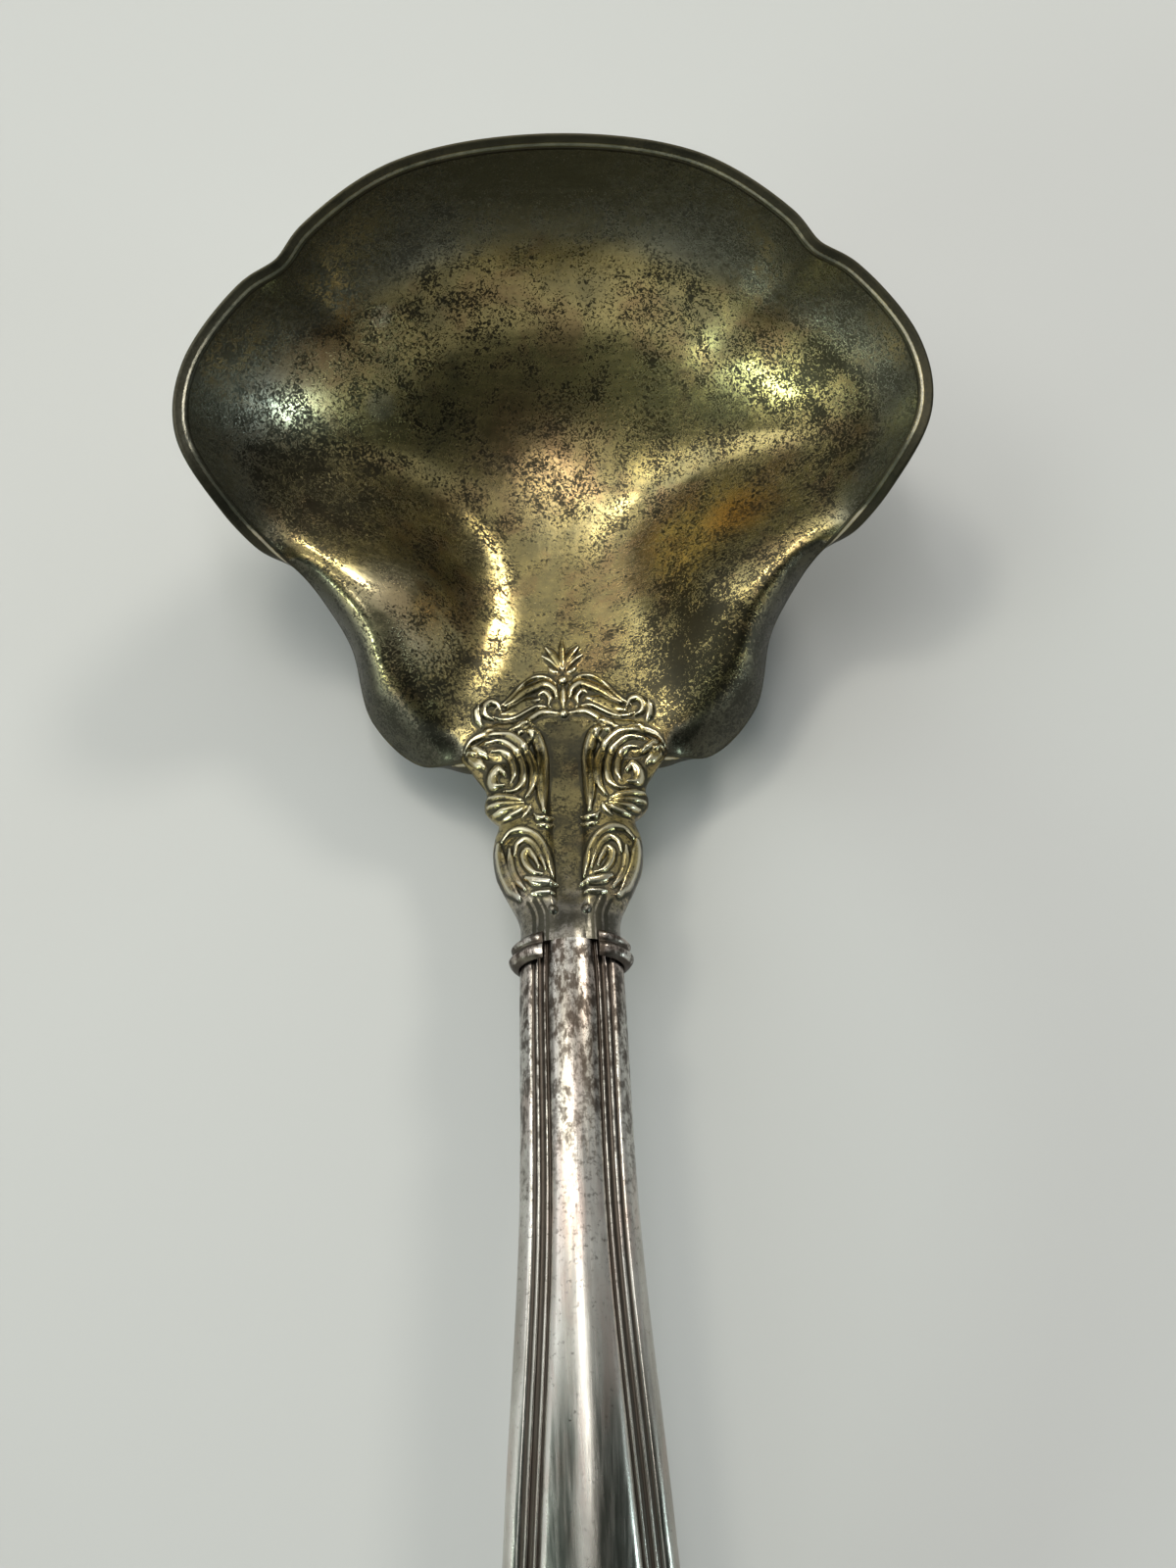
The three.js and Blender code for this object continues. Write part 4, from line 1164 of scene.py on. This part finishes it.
class LADLE_OT_collar(bpy.types.Operator):
    """Make the open collar with its two beads and side knobs"""

    bl_idname = "ladle.collar"
    bl_label = "Collar"

    STEPS = 180
    # Section of the two beads: share of the width along, share of the thickness out
    BEADS = (
        (-0.4, -0.1), (-0.36, 0.4), (-0.24, 0.75), (-0.1, 0.5), (-0.02, 0.25), (0.06, 0.55), (0.2, 0.95),
        (0.36, 0.75), (0.5, 0.3), (0.54, -0.1),
    )
    # Shift of the beads towards the handle, and share of the collar's width to which they are pressed
    SHIFT = 0.35 * MM
    SQUEEZE = 0.85
    # Height of the beads away from the knobs and at them, as shares of the thickness, and the power
    # that keeps the knobs to the sides
    KNOB = (0.38, 0.98)
    KNOB_SHARPNESS = 6
    # Share of the band over which its ends run out, and the height left there
    END_LENGTH = 0.03
    END_HEIGHT = 0.5
    # Share of the thickness below which the beads darken with tarnish and painted shade, and over how much
    # of it
    HOLLOW_BELOW = 0.62
    HOLLOW_REACH = 0.3

    def execute(self, context):
        sizes = context.scene.ladle_sizes
        _, stem = forms(context)
        gap_turn = math.acos((sizes.collar_opening / sizes.stem_width) ** (SECTION_POWER / 2))
        corners, section_at = closed_section(self.BEADS)

        def band(around, along_band):
            turn = mix(gap_turn, -math.pi - gap_turn, along_band)
            cos, sin = np.cos(turn), np.sin(turn)
            share, thick = section_at(around)
            knob = mix(*self.KNOB, cos ** self.KNOB_SHARPNESS)
            ends = smoothstep(np.minimum(along_band, 1 - along_band), 0, self.END_LENGTH)
            along = stem.collar_at + self.SHIFT + share * sizes.collar_width * self.SQUEEZE
            out = thick * knob * sizes.collar_thickness * mix(self.END_HEIGHT, 1, ends) + SEAM / 2
            across = np.sign(cos) * np.abs(cos) ** (2 / SECTION_POWER) * (stem.half_width(along) + out)
            crown = np.where(sin > 0, stem.front_crown(along), stem.back_crown(along))
            # Tarnish and painted shade between and below the beads
            hollow = smoothstep(self.HOLLOW_BELOW - thick, 0, self.HOLLOW_REACH)
            return stem.place(across, along, sin * (crown + out)), hollow

        bm = formed_grid(corners, self.STEPS, band)
        close_ends(bm)
        finish_piece(context, bm, "beaded_collar", "collar", "silver", "old_silver", sharp=70)
        return {"FINISHED"}


class LADLE_OT_handle(bpy.types.Operator):
    """Make the two shells of the hollow handle, with reeds on the front"""

    bl_idname = "ladle.handle"
    bl_label = "Handle"

    # Shells: name, node, side of the middle line and columns of faces
    SHELLS = (
        ("handle_front_shell", "handle_front", 1, 160),
        ("handle_back_shell", "handle_back", -1, 60),
    )
    ROWS = 220
    # Share of the rows before the round tip, and of the columns in the border
    STRAIGHT_SHARE = 0.82
    BORDER_SHARE = 0.68
    # Reach of the border's columns in widths of the border, the most of the half width that they take
    # up, and how much wider the border gets up to the flare
    BORDER_REACH = 1.4
    BORDER_MOST = 0.97
    BORDER_SPREAD = 0.18

    def execute(self, context):
        for shell in self.SHELLS:
            self.make_shell(context, *shell)
        return {"FINISHED"}

    def make_shell(self, context, name, node, side, columns):
        sizes = context.scene.ladle_sizes
        _, stem = forms(context)
        crown_at = stem.front_crown if side > 0 else stem.back_crown

        def shell(across, down):
            column = np.abs(2 * across - 1)
            straight = down <= self.STRAIGHT_SHARE
            along = mix(stem.collar_at, stem.end_at, np.minimum(down / self.STRAIGHT_SHARE, 1))
            turn = math.pi / 2 * np.clip((down - self.STRAIGHT_SHARE) / (1 - self.STRAIGHT_SHARE), 0, 1)
            half = stem.half_width(along)
            edge_x = np.where(straight, half, np.cos(turn) * sizes.end_width / 2)
            edge_y = np.where(straight, along, stem.end_at + sizes.end_length * np.sin(turn))
            flare = (stem.half_width(along + TINY) - stem.half_width(along - TINY)) / (2 * TINY)
            in_x = np.where(straight, -1.0, -2 * np.cos(turn) / sizes.end_width)
            in_y = np.where(straight, flare, -np.sin(turn) / sizes.end_length)
            size = np.hypot(in_x, in_y)
            flared = smoothstep(along, stem.collar_at, stem.collar_at + sizes.flare_at)
            spread = 1 + self.BORDER_SPREAD * flared
            reach = self.BORDER_REACH * sizes.reed_border * spread
            reach = np.where(straight, np.minimum(reach, self.BORDER_MOST * half), reach)
            brink_x, brink_y = edge_x + reach * in_x / size, edge_y + reach * in_y / size
            inner = np.clip(column / (1 - self.BORDER_SHARE), 0, 1)
            outer = np.clip((column - 1 + self.BORDER_SHARE) / self.BORDER_SHARE, 0, 1)
            middle_y = np.where(straight, along, stem.end_at)
            x = mix(brink_x * inner, edge_x, outer)
            y = mix(mix(middle_y, brink_y, inner), edge_y, outer)
            span = np.hypot(edge_x, edge_y - middle_y)
            gap = np.minimum(np.hypot(x, y - middle_y), span)
            height = crown_at(y) * bulge(gap / span)
            groove = np.zeros_like(x)
            if side > 0:
                off = span - reach * (1 - outer) - (span - reach) * (1 - inner)
                reeds, groove = stem.reeded(off, span, half, spread)
                height = height + reeds
            x = np.where(across < 0.5, -x, x)
            # Grooves carry tarnish and painted shade
            return stem.place(x, y, side * np.maximum(height, 0)), smoothstep(groove, *REED_SHADE)

        bm = formed_grid(columns, self.ROWS, shell)
        face_towards(bm, (0, 0, side))
        bmesh.ops.solidify(bm, geom=bm.faces[:], thickness=sizes.handle_wall)
        finish_piece(context, bm, name, node, "silver", "old_silver", sharp=75)


class LADLE_OT_core(bpy.types.Operator):
    """Give the hidden tang and filler of the frame their finishes"""

    bl_idname = "ladle.core"
    bl_label = "Tang and Filler"

    HIDDEN = (("tang", "dull_silver"), ("handle_filler", "brown_pitch"))

    def execute(self, context):
        for node, finish in self.HIDDEN:
            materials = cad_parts[node].data.materials
            materials.clear()
            materials.append(finish_of(context, finish))
        return {"FINISHED"}


class LADLE_OT_stage(bpy.types.Operator):
    """Make the floor, the soft light and the camera"""

    bl_idname = "ladle.stage"
    bl_label = "Stage"

    FLOOR_RADIUS = 2.5
    FLOOR_SIDES = 96

    # Soft lamps: name, degrees round from the bowl's front and up, distance, size, watts, colour
    LAMPS = (
        ("far_window", 30, 39, 0.9, (0.21, 0.16), 2.0, (1, 0.95, 0.82)),
        ("right_window", 103, 13, 0.9, (0.26, 0.08), 0.9, (0.74, 0.98, 1)),
        ("left_window", -116, 18, 0.9, (0.4, 0.14), 1.75, (0.8, 1, 0.84)),
        ("top_lamp", -36, 61, 1.0, (0.2, 0.17), 1.5, (1, 0.95, 0.8)),
        ("side_lamp", -62.3, 60.7, 0.142, (0.05, 0.06), 0.02, (1, 0.96, 0.8)),
        ("ceiling_lamp", -14, 77, 1.2, (0.15, 1.1), 2.1, (1, 0.97, 0.92)),
        ("left_room", -62, 38, 1.2, (0.8, 0.6), 1.1, (0.93, 0.98, 1)),
    )
    LAMPS_AIM = (0, -0.02, 0.012)
    # Light of the room by the direction that it comes from: dimmer to the right and low down, dim low in
    # front, and dark high up behind, apart from a strip overhead. Four numbers take a range of the
    # direction's part across, ahead or up to a range of levels
    ROOM_ACROSS = (-0.7, 0.6, 1.1, 0.45)
    ROOM_UP = (0, 0.9, 0.75, 1)
    FRONT_AHEAD = (0.1, 0.6, 0, 1)
    FRONT_UP = (0.1, 0.35, 1, 0)
    FRONT_ACROSS = (0.35, 0.75, 1, 0)
    FRONT_LEVEL = 0.5
    BACK_AHEAD = (-0.02, 0.14, 1, 0)
    BACK_UP = (0.38, 0.48, 0, 1)
    BACK_LEVEL = 0.1
    STRIP_SHIFT = 0.1
    STRIP_ACROSS = (0.08, 0.24, 1, 0)
    STRIP_UP = (0.84, 0.97, 0, 1)
    ROOM_TINT = (0.97, 0.98, 0.95, 1)
    BACK_TINT = (0.8, 1, 0.88, 1)

    SENSOR_WIDTH = 36
    NEAREST = 0.01

    def execute(self, context):
        self.make_floor(context)
        self.make_lamps(context)
        self.make_world(context)
        self.make_camera(context)
        context.scene.view_settings.view_transform = "Standard"
        return {"FINISHED"}

    def make_floor(self, context):
        bm = bmesh.new()
        bmesh.ops.create_circle(bm, cap_ends=True, segments=self.FLOOR_SIDES, radius=self.FLOOR_RADIUS)
        mesh = bpy.data.meshes.new("floor")
        bm.to_mesh(mesh)
        bm.free()
        floor = bpy.data.objects.new("floor", mesh)
        context.scene.collection.objects.link(floor)
        mesh.materials.append(finish_of(context, "pale_floor"))

    def make_lamps(self, context):
        for name, around, up, distance, size, watts, tint in self.LAMPS:
            lamp = bpy.data.lights.new(name, "AREA")
            lamp.shape = "ELLIPSE"
            lamp.size, lamp.size_y = size
            lamp.energy = watts * context.scene.ladle_stage.lamp_level
            lamp.color = tint
            piece = bpy.data.objects.new(name, lamp)
            turn, rise = math.radians(around), math.radians(up)
            way = Vector((math.sin(turn) * math.cos(rise), math.cos(turn) * math.cos(rise), math.sin(rise)))
            piece.location = Vector(self.LAMPS_AIM) + way * distance
            piece.rotation_euler = way.to_track_quat("Z", "Y").to_euler()
            context.scene.collection.objects.link(piece)

    def make_world(self, context):
        world = bpy.data.worlds.new("soft_room")
        world.use_nodes = True
        context.scene.world = world
        room = Nodes(world.node_tree)
        across, ahead, up = room.axes(room.add("ShaderNodeTexCoord").outputs["Generated"])
        level = room.times(room.band(across, *self.ROOM_ACROSS), room.band(up, *self.ROOM_UP))
        front = room.times(room.band(ahead, *self.FRONT_AHEAD), room.band(up, *self.FRONT_UP))
        front = room.times(front, room.band(across, *self.FRONT_ACROSS))
        level = room.times(level, room.band(front, 0, 1, 1, self.FRONT_LEVEL))
        off_strip = room.math("ABSOLUTE", room.math("ADD", across, self.STRIP_SHIFT))
        strip = room.times(room.band(off_strip, *self.STRIP_ACROSS), room.band(up, *self.STRIP_UP))
        back = room.times(room.band(ahead, *self.BACK_AHEAD), room.band(up, *self.BACK_UP))
        back = room.times(back, room.math("SUBTRACT", 1, strip))
        level = room.times(level, room.band(back, 0, 1, 1, self.BACK_LEVEL))
        background = world.node_tree.nodes["Background"].inputs
        room.give(background["Color"], room.blend(back, self.ROOM_TINT, self.BACK_TINT))
        room.give(background["Strength"], level)

    def make_camera(self, context):
        stage = context.scene.ladle_stage
        camera = bpy.data.cameras.new("photo_camera")
        camera.lens = stage.lens
        camera.sensor_width = self.SENSOR_WIDTH
        camera.clip_start = self.NEAREST
        piece = bpy.data.objects.new("photo_camera", camera)
        context.scene.collection.objects.link(piece)
        place, aim = Vector(stage.camera_place), Vector(stage.camera_aim)
        back = (place - aim).normalized()
        right = Vector((0, 0, 1)).cross(back).normalized()
        up = back.cross(right)
        turn = stage.camera_roll
        turned_right = right * math.cos(turn) + up * math.sin(turn)
        turned_up = up * math.cos(turn) - right * math.sin(turn)
        columns = Matrix((turned_right, turned_up, back)).transposed()
        piece.matrix_world = Matrix.Translation(place) @ columns.to_4x4()
        context.scene.camera = piece


class LADLE_PT_panel(bpy.types.Panel):
    """Lists the ladle's pieces in the order in which they are made, then its sizes, colours and stage"""

    bl_idname = "LADLE_PT_panel"
    bl_label = "Cream Ladle"
    bl_space_type = "VIEW_3D"
    bl_region_type = "UI"
    bl_category = "Ladle"

    def draw(self, context):
        for operator in OPERATORS:
            self.layout.operator(operator.bl_idname)
        for group in (context.scene.ladle_sizes, context.scene.ladle_colours, context.scene.ladle_stage):
            box = self.layout.box()
            for name in group.__annotations__:
                box.prop(group, name)


OPERATORS = (
    LADLE_OT_bowl, LADLE_OT_edge_band, LADLE_OT_shoulder, LADLE_OT_heel_drop, LADLE_OT_collar,
    LADLE_OT_handle, LADLE_OT_core, LADLE_OT_stage,
)
CLASSES = (LadleSizes, LadleColours, LadleStage, *OPERATORS, LADLE_PT_panel)


def register():
    for cls in CLASSES:
        bpy.utils.register_class(cls)
    bpy.types.Scene.ladle_sizes = PointerProperty(type=LadleSizes)
    bpy.types.Scene.ladle_colours = PointerProperty(type=LadleColours)
    bpy.types.Scene.ladle_stage = PointerProperty(type=LadleStage)


def unregister():
    del bpy.types.Scene.ladle_stage
    del bpy.types.Scene.ladle_colours
    del bpy.types.Scene.ladle_sizes
    for cls in reversed(CLASSES):
        bpy.utils.unregister_class(cls)


def main():
    register()
    bpy.ops.ladle.bowl()
    bpy.ops.ladle.edge_band()
    bpy.ops.ladle.shoulder()
    bpy.ops.ladle.heel_drop()
    bpy.ops.ladle.collar()
    bpy.ops.ladle.handle()
    bpy.ops.ladle.core()
    bpy.ops.ladle.stage()


if __name__ == "__main__":
    main()
